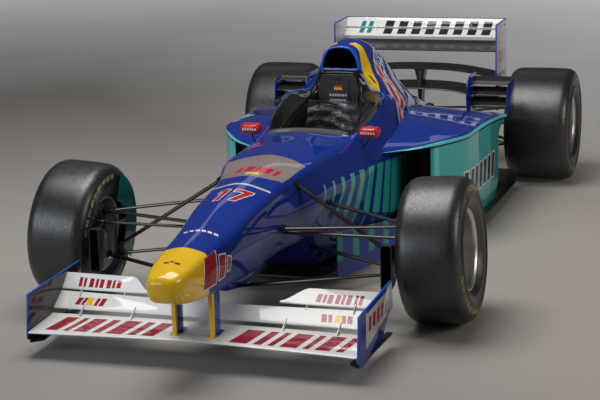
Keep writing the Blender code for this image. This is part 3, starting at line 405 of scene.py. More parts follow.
def strut(path, chord, thickness, sides=18, fine=1, lie=(0, 1, 0)):
    """A streamlined rod along a path: an oval whose long side lies as near the car's length as it can."""
    if fine > 1:
        path = [p[0] for p in eased([[p] for p in path], fine)]
    path = [Vector(p) for p in path]
    chords = chord if isinstance(chord, (list, tuple)) else [chord] * len(path)
    rings = []
    for i, centre in enumerate(path):
        along = (path[min(i + 1, len(path) - 1)] - path[max(i - 1, 0)]).normalized()
        wide = (Vector(lie) - along * along.dot(Vector(lie))).normalized()
        thin = along.cross(wide)
        wide_by = chords[min(i, len(chords) - 1)] / 2
        rings.append([centre + wide * wide_by * math.cos(a) + thin * thickness / 2 * math.sin(a)
                      for a in (2 * math.pi * (k + 0.5) / sides for k in range(sides))])
    return loft(rings)


def tube(path, radius, sides=12, fine=1, closed=False):
    """A round tube along a path."""
    if fine > 1:
        path = [p[0] for p in eased([[p] for p in path], fine)]
    path = [Vector(p) for p in path]
    rings = []
    up = Vector((0.13, 0.21, 1)).normalized()
    for i, centre in enumerate(path):
        ahead = path[(i + 1) % len(path)] if closed else path[min(i + 1, len(path) - 1)]
        behind = path[i - 1] if closed else path[max(i - 1, 0)]
        along = (ahead - behind).normalized()
        up = (up - along * along.dot(up)).normalized()
        side = along.cross(up)
        rings.append([centre + (up * math.cos(a) + side * math.sin(a)) * radius for a in circle(sides)])
    return loft(rings, closed)


def flipped(mesh):
    """The mirror image on the other side of the car."""
    copy = mesh.copy()
    copy.transform(Matrix.Diagonal((-1, 1, 1, 1)))
    copy.flip_normals()
    return copy


def cut(mesh, *tools, kind="DIFFERENCE", solver="EXACT"):
    """One closed mesh less others, or joined to them."""
    holder = bpy.data.objects.new("holder", mesh)
    bpy.context.scene.collection.objects.link(holder)
    helpers = []
    for tool in tools:
        helper = bpy.data.objects.new("helper", tool)
        bpy.context.scene.collection.objects.link(helper)
        change = holder.modifiers.new("change", "BOOLEAN")
        change.operation = kind
        change.solver = solver
        change.object = helper
        helpers.append(helper)
    bpy.context.view_layer.update()
    made = bpy.data.meshes.new_from_object(holder.evaluated_get(bpy.context.evaluated_depsgraph_get()))
    for done in [holder, *helpers]:
        bpy.data.objects.remove(done, do_unlink=True)
    return made


def piece(name, meshes, look, replaces=(), sharp=40, body="root", bevel=0.0):
    """One named object from closed meshes in the axle frame, riding on a body."""
    bm = bmesh.new()
    for mesh in meshes if isinstance(meshes, (list, tuple)) else [meshes]:
        bm.from_mesh(mesh)
    bmesh.ops.translate(bm, vec=(0, SHIFT, 0), verts=bm.verts)
    mesh = bpy.data.meshes.new(name)
    bm.to_mesh(mesh)
    bm.free()
    mesh.materials.clear()
    mesh.materials.append(look.made)
    mesh.shade_smooth()
    mesh.set_sharp_from_angle(angle=math.radians(sharp))
    obj = bpy.data.objects.new(name, mesh)
    bpy.context.scene.collection.objects.link(obj)
    if bevel:
        soften = obj.modifiers.new("soften", "BEVEL")
        soften.width = bevel
        soften.segments = 2
        soften.limit_method = "ANGLE"
        soften.angle_limit = math.radians(40)
        soften.harden_normals = True
    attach(obj, body)
    if replaces:
        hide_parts(*replaces)
    return obj


def pair(name, meshes, look, node=None, sharp=40, body=None):
    """A piece on the left and its mirror image on the right, each with its own node and body."""
    made = []
    shapes = meshes if isinstance(meshes, (list, tuple)) else [meshes]
    for side, word in SIDES:
        here = shapes if side > 0 else [flipped(mesh) for mesh in shapes]
        nodes = [f"{node}_{word}"] if node else []
        rides = f"{body}_{word}" if body else "root"
        made.append(piece(f"{name}_{word}", here, look, nodes, sharp, rides))
    return made


# Looks
def gloss(name, roughness=0.38):
    """Lacquered paint: a clear coat over a slightly uneven base."""
    return Look(name, roughness, 0.0, 1.0, coat_roughness=0.03, coat_ior=1.45, specular_ior_level=0.06)


def paint_finish(look, socket, dust=0.006):
    """Faint flake, dust and orange peel over a paint colour."""
    flake = look.noise(1400, 1).above(0.58, 0.12) * 0.008
    haze = look.noise(3.1, 4).above(0.5, 0.5) * dust
    look.colour(look.blend(socket, ((0.2, 0.26, 0.6), flake), (GREY_WHITE, haze)))
    look.rough(look.noise(9, 3) * 0.12 + 0.54)
    look.bump(look.noise(260, 1), 0.0001, 0.2)
    return look


def slant_bars(look, u, v, bars, low, high, lean):
    """Distance to a row of leaning bars: bars holds (start, end) along u, all from low to high in v."""
    shapes = []
    for start, end in bars:
        outline = [(start, low), (end, low), (end + lean, high), (start + lean, high)]
        shapes.append(look.poly(u, v, outline))
    return union(*shapes)


def bar_row(start, end, pitch, count):
    """Evenly spaced bars of one width."""
    return [(start + pitch * k, end + pitch * k) for k in range(count)]


def facing_up(look, edge=0.5):
    """1 where the surface faces up."""
    geometry = look.tree.nodes.new("ShaderNodeNewGeometry")
    split = look.tree.nodes.new("ShaderNodeSeparateXYZ")
    look.tree.links.new(geometry.outputs["Normal"], split.inputs[0])
    return Num(look.tree, split.outputs[2]).above(edge, 0.04)


def body_paint():
    """Nose and tub: blue with a yellow tip, stripe, number, pale panel and teal side stripes, with painted
    shade: deeper blue on the faces that don't face up, and teal stripes darkening towards the rear into the
    pod inlet.
    """
    look = gloss("body_paint")
    x, y, z = look.x, look.y, look.z
    top = facing_up(look)
    side = -(top - 1.0)
    ax = x.abs()
    tip = y.below(-0.832)
    band = y.within(-0.176, -0.16) * top * ax.below(0.132, 0.003)
    # The number reads from the front, so its top is nearer the cockpit
    up = y + 0.584
    one = look.poly(x, up, [(-0.06, 0.232), (-0.036, 0.232), (-0.02, 0.352), (-0.044, 0.352)])
    flag = look.poly(x, up, [(-0.066, 0.318), (-0.044, 0.33), (-0.038, 0.352), (-0.06, 0.34)])
    bar = look.poly(x, up, [(0.0, 0.326), (0.078, 0.326), (0.082, 0.352), (0.004, 0.352)])
    leg = look.poly(x, up, [(0.008, 0.232), (0.036, 0.232), (0.08, 0.34), (0.054, 0.34)])
    number = union(one, flag, bar, leg)
    dashes = slant_bars(look, x, -y, bar_row(-0.074, -0.056, 0.026, 6), 0.652, 0.668, 0.006)
    panel = look.poly(ax, y, [(-0.02, -0.078), (0.06, -0.066), (0.142, -0.036), (0.186, 0.164),
                              (0.111, 0.213), (-0.02, 0.244)])
    marks = slant_bars(look, x, y, [(-0.09, -0.064), (-0.05, -0.01), (0.004, 0.07), (0.084, 0.102)],
                       -0.01, 0.05, 0.012)
    spot = look.poly(x, y, [(-0.02, -0.052), (0.04, -0.044), (0.03, -0.022), (-0.03, -0.03)])
    nose_mark = union(slant_bars(look, x, -y, [(-0.034, -0.012), (0.012, 0.034)], 0.962, 0.978, 0.004),
                      slant_bars(look, x, -y, [(-0.01, 0.01)], 0.955, 0.968, 0.0))
    flame = union(look.poly(-y, z, [(0.77, 0.345), (0.885, 0.345), (0.865, 0.47), (0.77, 0.478)]),
                  look.poly(-y, z, [(0.69, 0.352), (0.745, 0.35), (0.745, 0.452), (0.69, 0.444)]),
                  look.poly(-y, z, [(0.64, 0.366), (0.668, 0.366), (0.668, 0.428), (0.64, 0.42)]))
    # Teal stripes on the tub's side, evenly spaced along the car and wider towards the cockpit
    lean = y - (z - 0.4) * y.op("MULTIPLY_ADD", -0.36, 0.4, clamp=True)
    cell = ((lean - 0.15) / 0.116).op("FRACT") - 0.5
    half = y.op("MULTIPLY_ADD", 0.4, -0.02, clamp=True).least(0.45)
    low_edge = z - (y * -0.237 + 0.455)
    under = low_edge.below(0, 0.002)
    half = half * (under * -0.55 + 1.0)
    stripes = (cell.abs() - half).below(0, 0.02) * y.above(0.185, 0.004)
    high_edge = (z - (y * -0.055 + 0.536)).most(z - (y * -0.098 + 0.577))
    stripes = stripes * high_edge.below(0, 0.002) * ax.above(0.14) * (under * -0.6 + 1.0)
    # The stripes deepen to darker teal towards the rear: painted shade deepening into the pod inlet.
    teal = look.blend(TEAL, (DEEP_TEAL, y.above(0.75, 0.7) * 0.7))
    field, bars = cover_marks(look)
    field = field * z.above(0.56) * y.above(1.2)
    seam = (y + 0.27).abs().below(0.0011, 0.0008)
    hatch = (y - 0.93).abs().below(0.0011, 0.0008) * side
    # Faces that don't face up get a quarter of the deeper blue: painted shade on the sides.
    colour = look.blend(BLUE, (DEEP_BLUE, side * 0.25), (teal, stripes), (GREY_WHITE, band),
                        (WHITE, dashes.below(0, 0.001) * top), (PANEL, panel.below(0, 0.0012) * top),
                        (RED, marks.below(0, 0.001) * top), (YELLOW, spot.below(0, 0.001) * top),
                        (WHITE, number.below(0.0038, 0.0008) * top), (RED, number.below(0, 0.0008) * top),
                        (GREY_WHITE, field * 0.92), (RED, field * bars), (YELLOW, tip),
                        (DARK_RED, nose_mark.below(0, 0.001) * top),
                        (WHITE, flame.below(0.005, 0.001) * side),
                        (DARK_RED, flame.below(0, 0.001) * side), (BLACK, (seam + hatch) * 0.8))
    return paint_finish(look, colour)


def cover_marks(look):
    """Pale field with leaning red bars on both flanks behind the cockpit, as two masks."""
    y, z = look.y, look.z
    field = look.poly(y, z, [(1.236, 0.565), (1.3, 0.56), (1.44, 0.59), (1.64, 0.668), (1.73, 0.815),
                             (1.6, 0.9), (1.56, 0.85), (1.33, 0.72), (1.245, 0.64)])
    u = (y * 0.62 - z * 0.78) * 17.0
    v = (y * 0.78 + z * 0.62) * 7.0
    bars = ((u + (v.op("FLOOR")) * 0.37).op("FRACT") - 0.5).abs().below(0.3, 0.03)
    gaps = (v.op("FRACT") - 0.5).abs().below(0.44, 0.03)
    return field.below(0, 0.002), bars * gaps


def cover_paint():
    """Engine cover: blue with yellow flanks on the airbox, red and pale marks behind, bright front edge."""
    look = gloss("cover_paint")
    y, z, ax = look.y, look.z, look.x.abs()
    flank = look.poly(y, z, [(1.33, 0.77), (1.372, 0.756), (1.44, 0.79), (1.52, 0.87), (1.5, 0.945),
                             (1.48, 0.99), (1.4, 0.99), (1.366, 0.9), (1.358, 0.83)])
    one_side = look.x.above(0, 0.01).most(z.above(0.845, 0.002))
    flank = flank.below(0, 0.0012) * ax.above(0.03, 0.002) * one_side
    field, bars = cover_marks(look)
    field = field * ax.above(0.06)
    hole = look.poly(y, z, [(1.396, 0.796), (1.416, 0.788), (1.426, 0.826), (1.408, 0.834)])
    edge = y.below(1.372, 0.002) * z.above(0.86, 0.002)
    hole = hole.below(0, 0.001) * ax.above(0.1)
    colour = look.blend(BLUE, (GREY_WHITE, field * 0.92), (RED, field * bars), (YELLOW, flank),
                        (BLACK, hole), (EDGE_BRIGHT, edge))
    return paint_finish(look, colour)


# The height of the pod's lip along the car
LIP_POINTS = [(0.97, 0.53), (1.08, 0.535), (1.21, 0.54), (1.4, 0.55), (1.55, 0.545), (1.7, 0.54),
              (2.0, 0.528), (2.3, 0.49)]
LIP_CURVE = [float(c) for c in np.polyfit(*zip(*LIP_POINTS), 4)]


def horner(value, coefficients):
    """A polynomial of the value, highest power first."""
    total = value * coefficients[0] + coefficients[1]
    for c in coefficients[2:]:
        total = total * value + c
    return total


def pod_paint():
    """Side pods: blue roof, pale teal lip line over a dark line, teal flank with a deeper rear patch."""
    look = gloss("pod_paint")
    y, z, ax = look.y, look.z, look.x.abs()
    lip = z - horner(y, LIP_CURVE)
    flank = lip.below(-0.028, 0.0015)
    dark = lip.within(-0.028, -0.019, 0.0015)
    pale = lip.within(-0.019, -0.004, 0.0015) * ax.above(0.3)
    patch = y.above(1.88, 0.002)
    bars = slant_bars(look, y, z, bar_row(1.36, 1.412, 0.088, 7), 0.215, 0.345, 0.02)
    front = y.below(1.205, 0.003)
    teal = look.blend(TEAL, (DEEP_TEAL, patch * 0.75), (LIP_CYAN, front))
    colour = look.blend(BLUE, (teal, flank * ax.above(0.34)), (WHITE, bars.below(0.008, 0.001) * flank),
                        (BLACK, bars.below(0, 0.001) * flank), (DEEP_BLUE, dark * ax.above(0.34)),
                        (LIP_CYAN, pale))
    return paint_finish(look, colour)


def plain_paint(name, colour, roughness, dust=0.006):
    """One colour with faint shading."""
    look = gloss(name, roughness)
    shade = look.noise(5, 3).above(0.5, 0.4) * 0.25
    return paint_finish(look, look.blend(colour, (tuple(c * 0.8 for c in colour), shade)), dust)


def front_wing_paint():
    """White with large leaning dark red bars, and smaller bars and blocks on the planes behind."""
    look = gloss("front_wing_paint")
    x, y, ax = look.x, look.y, look.x.abs()
    top = facing_up(look, 0.2)
    big = slant_bars(look, x, y, [(-0.64, -0.585), (-0.56, -0.535), (-0.515, -0.455), (-0.43, -0.395),
                                  (-0.37, -0.3), (-0.275, -0.24), (-0.215, -0.16), (0.16, 0.235),
                                  (0.26, 0.295), (0.32, 0.345), (0.37, 0.44), (0.465, 0.49),
                                  (0.515, 0.575), (0.6, 0.63)], -0.812, -0.655, 0.03)
    small = slant_bars(look, ax, y, [(0.478, 0.5), (0.506, 0.522), (0.564, 0.58), (0.586, 0.608)], -0.592,
                       -0.556, -0.008)
    disc = slant_bars(look, ax, y, [(0.53, 0.556)], -0.592, -0.556, 0.0)
    word = slant_bars(look, ax, y, [(0.43, 0.45), (0.457, 0.47), (0.477, 0.497), (0.51, 0.528),
                                    (0.535, 0.548), (0.556, 0.576), (0.59, 0.602), (0.609, 0.624)],
                      -0.513, -0.478, 0.004)
    paint = look.blend(WHITE, (DARK_RED, big.below(0, 0.001) * top),
                       (DARK_RED, small.below(0, 0.001) * top), (YELLOW, disc.below(0, 0.001) * top),
                       (DARK_RED, word.below(0, 0.001) * top))
    return paint_finish(look, paint, 0.03)


def rear_wing_paint():
    """White flaps with black leaning bars and two teal ones."""
    look = gloss("rear_wing_paint")
    x, z = look.x, look.z
    bars = slant_bars(look, x, z, bar_row(-0.25, -0.196, 0.088, 8), 0.81, 0.884, 0.012)
    top = facing_up(look, 0.1)
    mark = slant_bars(look, x, z, [(-0.405, -0.377), (-0.357, -0.329)], 0.814, 0.88, 0.012)
    paint = look.blend(WHITE, (BLACK, bars.below(0, 0.001) * top),
                       (DEEP_TEAL, mark.below(0, 0.001) * top))
    return paint_finish(look, paint, 0.03)


WEAVE = 420.0


def carbon(name, base, roughness, coat):
    """Twill weave under lacquer: two crossed bands per thread, offset row by row."""
    look = Look(name, roughness, 0.0, coat, coat_roughness=0.12)
    u = (look.x + look.z * 0.73) * WEAVE
    v = (look.y + look.z * 0.68) * WEAVE
    twill = ((u + v) * 0.5).op("FRACT").above(0.5, 0.15)
    grain = look.noise(60, 3)
    pale = tuple(c * 2.4 for c in base)
    look.colour(look.blend(base, (pale, twill * 0.55), ((0.1, 0.1, 0.1), grain.above(0.62, 0.2) * 0.1)))
    look.rough(twill * 0.1 + (roughness - 0.05) + look.noise(7, 3) * 0.15)
    look.bump(twill, 0.0001, 0.5)
    return look


def rubber_look():
    """Worn rubber with scuffs and fine pebbles."""
    look = Look("tyre_rubber", 0.55, 0.0, 0.0, specular_ior_level=0.85)
    scuff = look.noise(34, 5, 0.65)
    patch = look.noise(6, 3)
    grain = look.noise(900, 2)
    look.colour(look.blend((0.012, 0.012, 0.0125), ((0.034, 0.032, 0.03), scuff.above(0.6, 0.25) * 0.45),
                           ((0.006, 0.006, 0.006), patch.above(0.55, 0.2) * 0.6),
                           ((0.09, 0.085, 0.08), grain.above(0.7, 0.1) * 0.12)))
    pebble = look.noise(240, 3, 0.6).above(0.52, 0.16)
    look.rough(scuff * 0.2 + patch * 0.08 + pebble * 0.16 + 0.15)
    look.bump(grain * 0.4 + scuff + pebble * 0.5, 0.0005, 0.6)
    return look


def mark_look():
    """Worn yellow paint on the sidewalls."""
    look = Look("tyre_mark", 0.6)
    faded = look.noise(60, 3)
    look.colour(look.blend((0.45, 0.36, 0.12), ((0.05, 0.05, 0.045), faded.above(0.48, 0.2) * 0.8)))
    look.rough(faded * 0.3 + 0.5)
    look.bump(faded, 0.0004, 0.4)
    return look


def metal(name, colour, roughness):
    """Cast or turned metal, darker and rougher in patches."""
    look = Look(name, roughness, 1.0)
    fine = look.noise(180, 3)
    worn = look.noise(24, 4).above(0.52, 0.3) * 0.15
    look.colour(look.blend(colour, (tuple(c * 0.55 for c in colour), worn)))
    look.rough(fine * 0.18 + roughness)
    look.bump(fine, 0.00008, 0.3)
    return look


# Wheels
WHEELBASE = 2.9
CAMBER = math.radians(4)
FRONT_X, FRONT_Z, FRONT_R, FRONT_HALF = 0.841, 0.3197, 0.3155, 0.141
REAR_X, REAR_Z, REAR_R, REAR_HALF = 0.795, 0.3279, 0.3279, 0.19
RIM_R = 0.176
RIM_INSET = 0.026


def tyre_profile(radius, half):
    """Half the section from the outer bead over the tread, then its mirror image."""
    seat = half - RIM_INSET
    corners = [(0.1645, seat - 0.01, 0.002), (RIM_R + 0.001, seat - 0.004, 0.002),
               (RIM_R + 0.001, seat + 0.001, 0.003), (RIM_R + 0.028, half - 0.004, 0.012),
               (0.248, half, 0.02), (radius - 0.026, half - 0.008, 0.016),
               (radius - 0.0045, half - 0.036, 0.022), (radius - 0.001, half - 0.075, 0.03),
               (radius, 0.0, 0.04)]
    ring = rounded(corners + [(r, -a, k) for r, a, k in reversed(corners[:-1])], 7)
    points = [(p.x, p.y) for p in ring]
    ridged = []
    for i, (r, a) in enumerate(points):
        ridged.append((r, a))
        r2, a2 = points[(i + 1) % len(points)]
        if abs(a) > half - 0.012 and abs(a2) > half - 0.012 and (r2 - r) ** 2 + (a2 - a) ** 2 > 0.00004:
            sign = 1 if a > 0 else -1
            for share, lift in ((0.4, 0), (0.44, 0.0009), (0.5, 0.0009), (0.54, 0)):
                ridged.append((r + (r2 - r) * share, a + (a2 - a) * share + sign * lift))
    return ridged


def wheel_matrix(side, x, y, z, camber):
    """Turns a part made about Z onto its axle."""
    turn = Matrix.Rotation(side * (math.pi / 2 - camber), 4, "Y")
    return Matrix.Translation((side * x, y, z)) @ turn


def tyre(name, body, side, x, y, z, radius, half, camber, marks):
    """One tyre, with broken arcs of worn paint on its sidewalls."""
    profile = tyre_profile(radius, half)
    mesh = turned(profile, 144)
    mesh.transform(wheel_matrix(side, x, y, z, camber))
    obj = piece(name + "_rubber", mesh, RUBBER, [name], 60, body)
    obj.data.materials.append(MARK.made)
    back = wheel_matrix(side, x, y, z, camber).inverted() @ Matrix.Translation((0, -SHIFT, 0))
    for face in obj.data.polygons:
        centre = back @ face.center
        r = math.hypot(centre.x, centre.y)
        angle = math.degrees(math.atan2(centre.y, centre.x)) % 360
        for low, high, start, stop, sign in marks:
            on_arc = low < r < high and (angle - start) % 360 < (stop - start) % 360
            if on_arc and sign * centre.z > half * 0.6 and int(angle / 2.5) % 4 != 3:
                face.material_index = 1


# Spoke: distance from the axle, width, depth, and how far it rises from the web
SPOKE_ROWS = [
    (0.04, 0.034, 0.026, -0.012), (0.075, 0.024, 0.02, -0.01), (0.11, 0.022, 0.018, -0.006),
    (0.136, 0.03, 0.018, 0.0), (0.15, 0.046, 0.02, 0.004),
]


def rim(name, body, side, x, y, z, half, camber, dish, spokes):
    """Alloy barrel, hub and spokes, with the centre nut."""
    seat = half - RIM_INSET
    web = seat - dish
    barrel = spun([(RIM_R, seat, 0.002), (RIM_R, seat - 0.005, 0.001), (0.1642, seat - 0.01, 0.002),
                   (0.1642, web + 0.02, 0.01), (0.15, web, 0.02), (0.15, -web * 0.3, 0.02),
                   (0.1642, -seat + 0.04, 0.01), (0.1642, -seat + 0.01, 0.002),
                   (RIM_R, -seat + 0.005, 0.001), (RIM_R, -seat, 0.002), (0.158, -seat + 0.004, 0.004),
                   (0.145, -web * 0.3, 0.02), (0.1435, web - 0.012, 0.008), (0.157, web + 0.03, 0.012),
                   (0.158, seat - 0.012, 0.006), (0.168, seat - 0.001, 0.003)], 5, 96)
    hub = spun([(0.0, web + 0.012, 0.0), (0.03, web + 0.012, 0.002), (0.052, web + 0.004, 0.004),
                (0.056, web - 0.03, 0.004), (0.048, web - 0.045, 0.003), (0.0, web - 0.045, 0.0)], 4, 64)
    arms = []
    for angle in circle(spokes):
        sections = []
        for r, wide, high, lift in SPOKE_ROWS:
            ring = rounded([(-wide / 2, -high / 2, 0.005), (wide / 2, -high / 2, 0.005),
                            (wide / 2, high / 2, 0.005), (-wide / 2, high / 2, 0.005)], 4)
            c, s = math.cos(angle), math.sin(angle)
            sections.append([Vector((r * c - p.x * s, r * s + p.x * c, web + lift + p.y)) for p in ring])
        arms.append(loft(eased(sections, 4)))
    nut = rod((0, 0, web + 0.01), (0, 0, web + 0.034), 0.03, 6, 0.028)
    cap = rod((0, 0, web + 0.03), (0, 0, web + 0.038), 0.017, 32, 0.015)
    place = wheel_matrix(side, x, y, z, camber)
    for mesh in [barrel, hub, nut, cap, *arms]:
        mesh.transform(place)
    piece(name + "_alloy", [barrel, hub, *arms], SILVER, [name], body=body)
    piece(name + "_nut", [nut, cap], NUT, [], 30, body, 0.0008)


BOOT = [
    (0.0, 0.0, 0), (0.04, 0.0, 0.004), (0.04, 0.016, 0.004), (0.026, 0.024, 0.003), (0.03, 0.031, 0.003),
    (0.021, 0.038, 0.003), (0.025, 0.045, 0.003), (0.0165, 0.055, 0.003), (0.0, 0.055, 0),
]


def drive_shaft(name, body, side, x, y, z):
    """The shaft from the gearbox to the hub with a bellows at each end; it turns with the wheel."""
    inner, outer = 0.1135, 0.632
    shaft = rod((side * 0.113, y, z), (side * (x - 0.05), y, z), 0.0148, 32)
    sleeve = rod((side * (x - 0.059), y, z), (side * (x + 0.02), y, z), 0.04, 40)
    boots = []
    for at, way in ((inner, side), (outer, -side)):
        boot = spun(BOOT, 4, 40)
        boot.transform(Matrix.Translation((side * at, y, z)) @ Matrix.Rotation(way * math.pi / 2, 4, "Y"))
        boots.append(boot)
    piece(name + "_shaft", [shaft, sleeve], NUT, body=body)
    piece(name + "_boots", boots, BOOT_RUBBER, body=body)


def brake(name, body, side, x, y, z, web, camber):
    """Disc with its bell inside the rim; web is where the rim's spokes sit."""
    at = web - 0.075
    disc = spun([(0.062, at - 0.013, 0.002), (0.138, at - 0.013, 0.002), (0.138, at + 0.013, 0.002),
                 (0.062, at + 0.013, 0.002)], 4, 72)
    bell = spun([(0.03, at - 0.01, 0.002), (0.064, at - 0.01, 0.003), (0.064, at + 0.016, 0.004),
                 (0.046, at + 0.034, 0.004), (0.03, at + 0.034, 0.002)], 4, 72)
    for mesh in (disc, bell):
        mesh.transform(wheel_matrix(side, x, y, z, camber))
    piece(name + "_brake_disc", disc, BRAKE, body=body)
    piece(name + "_disc_bell", bell, CAST, body=body)


RUBBER = rubber_look()
BOOT_RUBBER = carbon("boot_rubber", (0.012, 0.012, 0.012), 0.5, 0.0)
MARK = mark_look()
SILVER = metal("rim_silver", (0.62, 0.62, 0.62), 0.28)
NUT = metal("nut_metal", (0.35, 0.36, 0.38), 0.25)
BRAKE = metal("brake_iron", (0.1, 0.095, 0.09), 0.38)
CAST = metal("cast_alloy", (0.2, 0.2, 0.2), 0.42)


# Sidewall marks: inner and outer radius, start and end angle, outer or inner side
MARK_IN, MARK_OUT = 0.252, 0.276
FRONT_MARKS = [(MARK_IN, MARK_OUT, start, stop, way) for way in (1, -1) for start,
               stop in ((100, 190), (280, 10))]
REAR_MARKS = [(MARK_IN, MARK_OUT, 130, 200, 1), (MARK_IN, MARK_OUT, 310, 20, 1)]
FRONT_DISH, REAR_DISH, SPOKES = 0.085, 0.105, 8


for side, word in SIDES:
    front, rear = f"front_wheel_{word}", f"rear_wheel_{word}"
    front_at, rear_at = (side, FRONT_X, 0.0, FRONT_Z), (side, REAR_X, WHEELBASE, REAR_Z)
    tyre(f"front_tyre_{word}", front, *front_at, FRONT_R, FRONT_HALF, CAMBER, FRONT_MARKS)
    tyre(f"rear_tyre_{word}", rear, *rear_at, REAR_R, REAR_HALF, 0.0, REAR_MARKS)
    rim(f"front_rim_{word}", front, *front_at, FRONT_HALF, CAMBER, FRONT_DISH, SPOKES)
    rim(f"rear_rim_{word}", rear, *rear_at, REAR_HALF, 0.0, REAR_DISH, SPOKES)
    brake(f"front_{word}", front, *front_at, FRONT_HALF - RIM_INSET - FRONT_DISH, CAMBER)
    drive_shaft(f"rear_{word}", rear, *rear_at)
    brake(f"rear_{word}", rear, *rear_at, REAR_HALF - RIM_INSET - REAR_DISH, 0.0)


# Nose, tub and engine cover: y, corners from the bottom up, rounding, height of the top centre
NOSE_ROWS = [
    (-1.095, [(0.016, 0.386), (0.026, 0.398), (0.018, 0.411)], 0.008, 0.415),
    (-1.091, [(0.032, 0.37), (0.045, 0.398), (0.034, 0.424)], 0.014, 0.431),
    (-1.08, [(0.045, 0.354), (0.06, 0.396), (0.052, 0.435)], 0.018, 0.448),
    (-1.05, [(0.058, 0.337), (0.074, 0.395), (0.068, 0.446)], 0.022, 0.463),
    (-1.0, [(0.07, 0.324), (0.084, 0.395), (0.081, 0.455)], 0.024, 0.476),
    (-0.85, [(0.092, 0.304), (0.102, 0.4), (0.097, 0.478)], 0.026, 0.505),
    (-0.6, [(0.102, 0.284), (0.126, 0.41), (0.119, 0.505)], 0.028, 0.545),
    (-0.36, [(0.114, 0.268), (0.15, 0.425), (0.14, 0.548)], 0.03, 0.588),
    (-0.2703, [(0.118, 0.262), (0.158, 0.43), (0.143, 0.56)], 0.03, 0.603),
]
TUB_ROWS = [
    (-0.27, [(0.06, 0.262), (0.118, 0.285), (0.158, 0.43), (0.143, 0.56)], 0.03, 0.603),
    (0.0, [(0.07, 0.23), (0.15, 0.29), (0.197, 0.44), (0.16, 0.594)], 0.032, 0.641),
    (0.14, [(0.085, 0.2), (0.195, 0.31), (0.243, 0.47), (0.195, 0.618)], 0.034, 0.653),
    (0.45, [(0.13, 0.08), (0.235, 0.3), (0.28, 0.47), (0.215, 0.628)], 0.034, 0.66),
    (0.8, [(0.18, 0.062), (0.29, 0.24), (0.318, 0.48), (0.236, 0.636)], 0.034, 0.656),
    (1.0, [(0.2, 0.062), (0.32, 0.2), (0.338, 0.5), (0.25, 0.67)], 0.034, 0.684),
    (1.27, [(0.22, 0.062), (0.335, 0.18), (0.34, 0.52), (0.262, 0.742)], 0.034, 0.752),
    (1.62, [(0.23, 0.062), (0.33, 0.18), (0.332, 0.52), (0.25, 0.69)], 0.034, 0.76),
]
KEEL_ROWS = [
    (-0.42, [(0.016, 0.205), (0.024, 0.222), (0.022, 0.256)], 0.004, 0.258),
    (-0.272, [(0.03, 0.183), (0.046, 0.212), (0.044, 0.256)], 0.006, 0.2612),
    (-0.1, [(0.04, 0.188), (0.06, 0.225), (0.058, 0.27)], 0.006, 0.275),
]
COVER_ROWS = [
    (1.365, [(0.25, 0.56), (0.262, 0.7), (0.118, 0.85), (0.082, 0.965)], 0.03, 0.99),
    (1.52, [(0.285, 0.52), (0.28, 0.68), (0.125, 0.85), (0.082, 0.98)], 0.034, 1.008),
    (1.85, [(0.3, 0.46), (0.262, 0.62), (0.118, 0.79), (0.065, 0.905)], 0.034, 0.93),
    (2.15, [(0.28, 0.44), (0.225, 0.56), (0.105, 0.69), (0.048, 0.775)], 0.03, 0.79),
    (2.4, [(0.23, 0.435), (0.18, 0.5), (0.095, 0.585), (0.04, 0.645)], 0.026, 0.655),
    (2.62, [(0.185, 0.425), (0.15, 0.46), (0.09, 0.5), (0.042, 0.545)], 0.024, 0.556),
    (2.8, [(0.16, 0.418), (0.13, 0.44), (0.085, 0.455), (0.042, 0.49)], 0.022, 0.5),
]
# Left half of the cockpit rim from the front to the headrest's top: outer edge, inner lip
RIM_PATH = [
    ((0.196, 0.786, 0.64), (0.172, 0.8, 0.596)),
    ((0.22, 0.87, 0.664), (0.186, 0.88, 0.618)),
    ((0.237, 0.97, 0.69), (0.188, 0.975, 0.637)),
    ((0.247, 1.07, 0.713), (0.178, 1.08, 0.675)),
    ((0.254, 1.17, 0.733), (0.158, 1.17, 0.706)),
    ((0.252, 1.268, 0.75), (0.14, 1.245, 0.736)),
    ((0.206, 1.332, 0.757), (0.131, 1.288, 0.75)),
    ((0.163, 1.352, 0.762), (0.123, 1.318, 0.772)),
    ((0.14, 1.36, 0.788), (0.114, 1.334, 0.798)),
    ((0.122, 1.356, 0.83), (0.104, 1.338, 0.824)),
    ((0.1, 1.352, 0.86), (0.086, 1.336, 0.846)),
    ((0.045, 1.35, 0.866), (0.04, 1.334, 0.852)),
]


def sheet(grid, thickness, back):
    """A closed thin body from rows of points, thickened along the direction back."""
    bm = bmesh.new()
    step = Vector(back).normalized() * thickness
    near = [[bm.verts.new(p) for p in row] for row in grid]
    far = [[bm.verts.new(Vector(p) + step) for p in row] for row in grid]
    for a, b in ((near, 1), (far, -1)):
        for row, after in zip(a, a[1:]):
            for i in range(len(row) - 1):
                bm.faces.new((row[i], row[i + 1], after[i + 1], after[i])[::b])
    edge = near[0] + [r[-1] for r in near[1:]] + near[-1][-2::-1] + [r[0] for r in near[-2:0:-1]]
    other = far[0] + [r[-1] for r in far[1:]] + far[-1][-2::-1] + [r[0] for r in far[-2:0:-1]]
    for i in range(len(edge)):
        j = (i + 1) % len(edge)
        bm.faces.new((edge[i], other[i], other[j], edge[j]))
    return finished(bm, "sheet")


def soft(corners, steps=4):
    """A ring of 3-D points from (point, rounding) corners."""
    points = []
    for i, (here, radius) in enumerate(corners):
        here = Vector(here)
        before = Vector(corners[i - 1][0]) - here
        after = Vector(corners[(i + 1) % len(corners)][0]) - here
        reach = min(radius, before.length * 0.49, after.length * 0.49)
        start, end = here + before.normalized() * reach, here + after.normalized() * reach
        for k in range(steps):
            t = k / (steps - 1)
            points.append(start * (1 - t) ** 2 + here * 2 * t * (1 - t) + end * t**2)
    return points


def paint_faces(obj, look, chosen):
    """Give the faces that chosen(centre, normal) accepts, in the axle frame, a further material."""
    obj.data.materials.append(look.made)
    index = len(obj.data.materials) - 1
    for face in obj.data.polygons:
        centre = Vector(face.center) - Vector((0, SHIFT, 0))
        if chosen(centre, face.normal):
            face.material_index = index


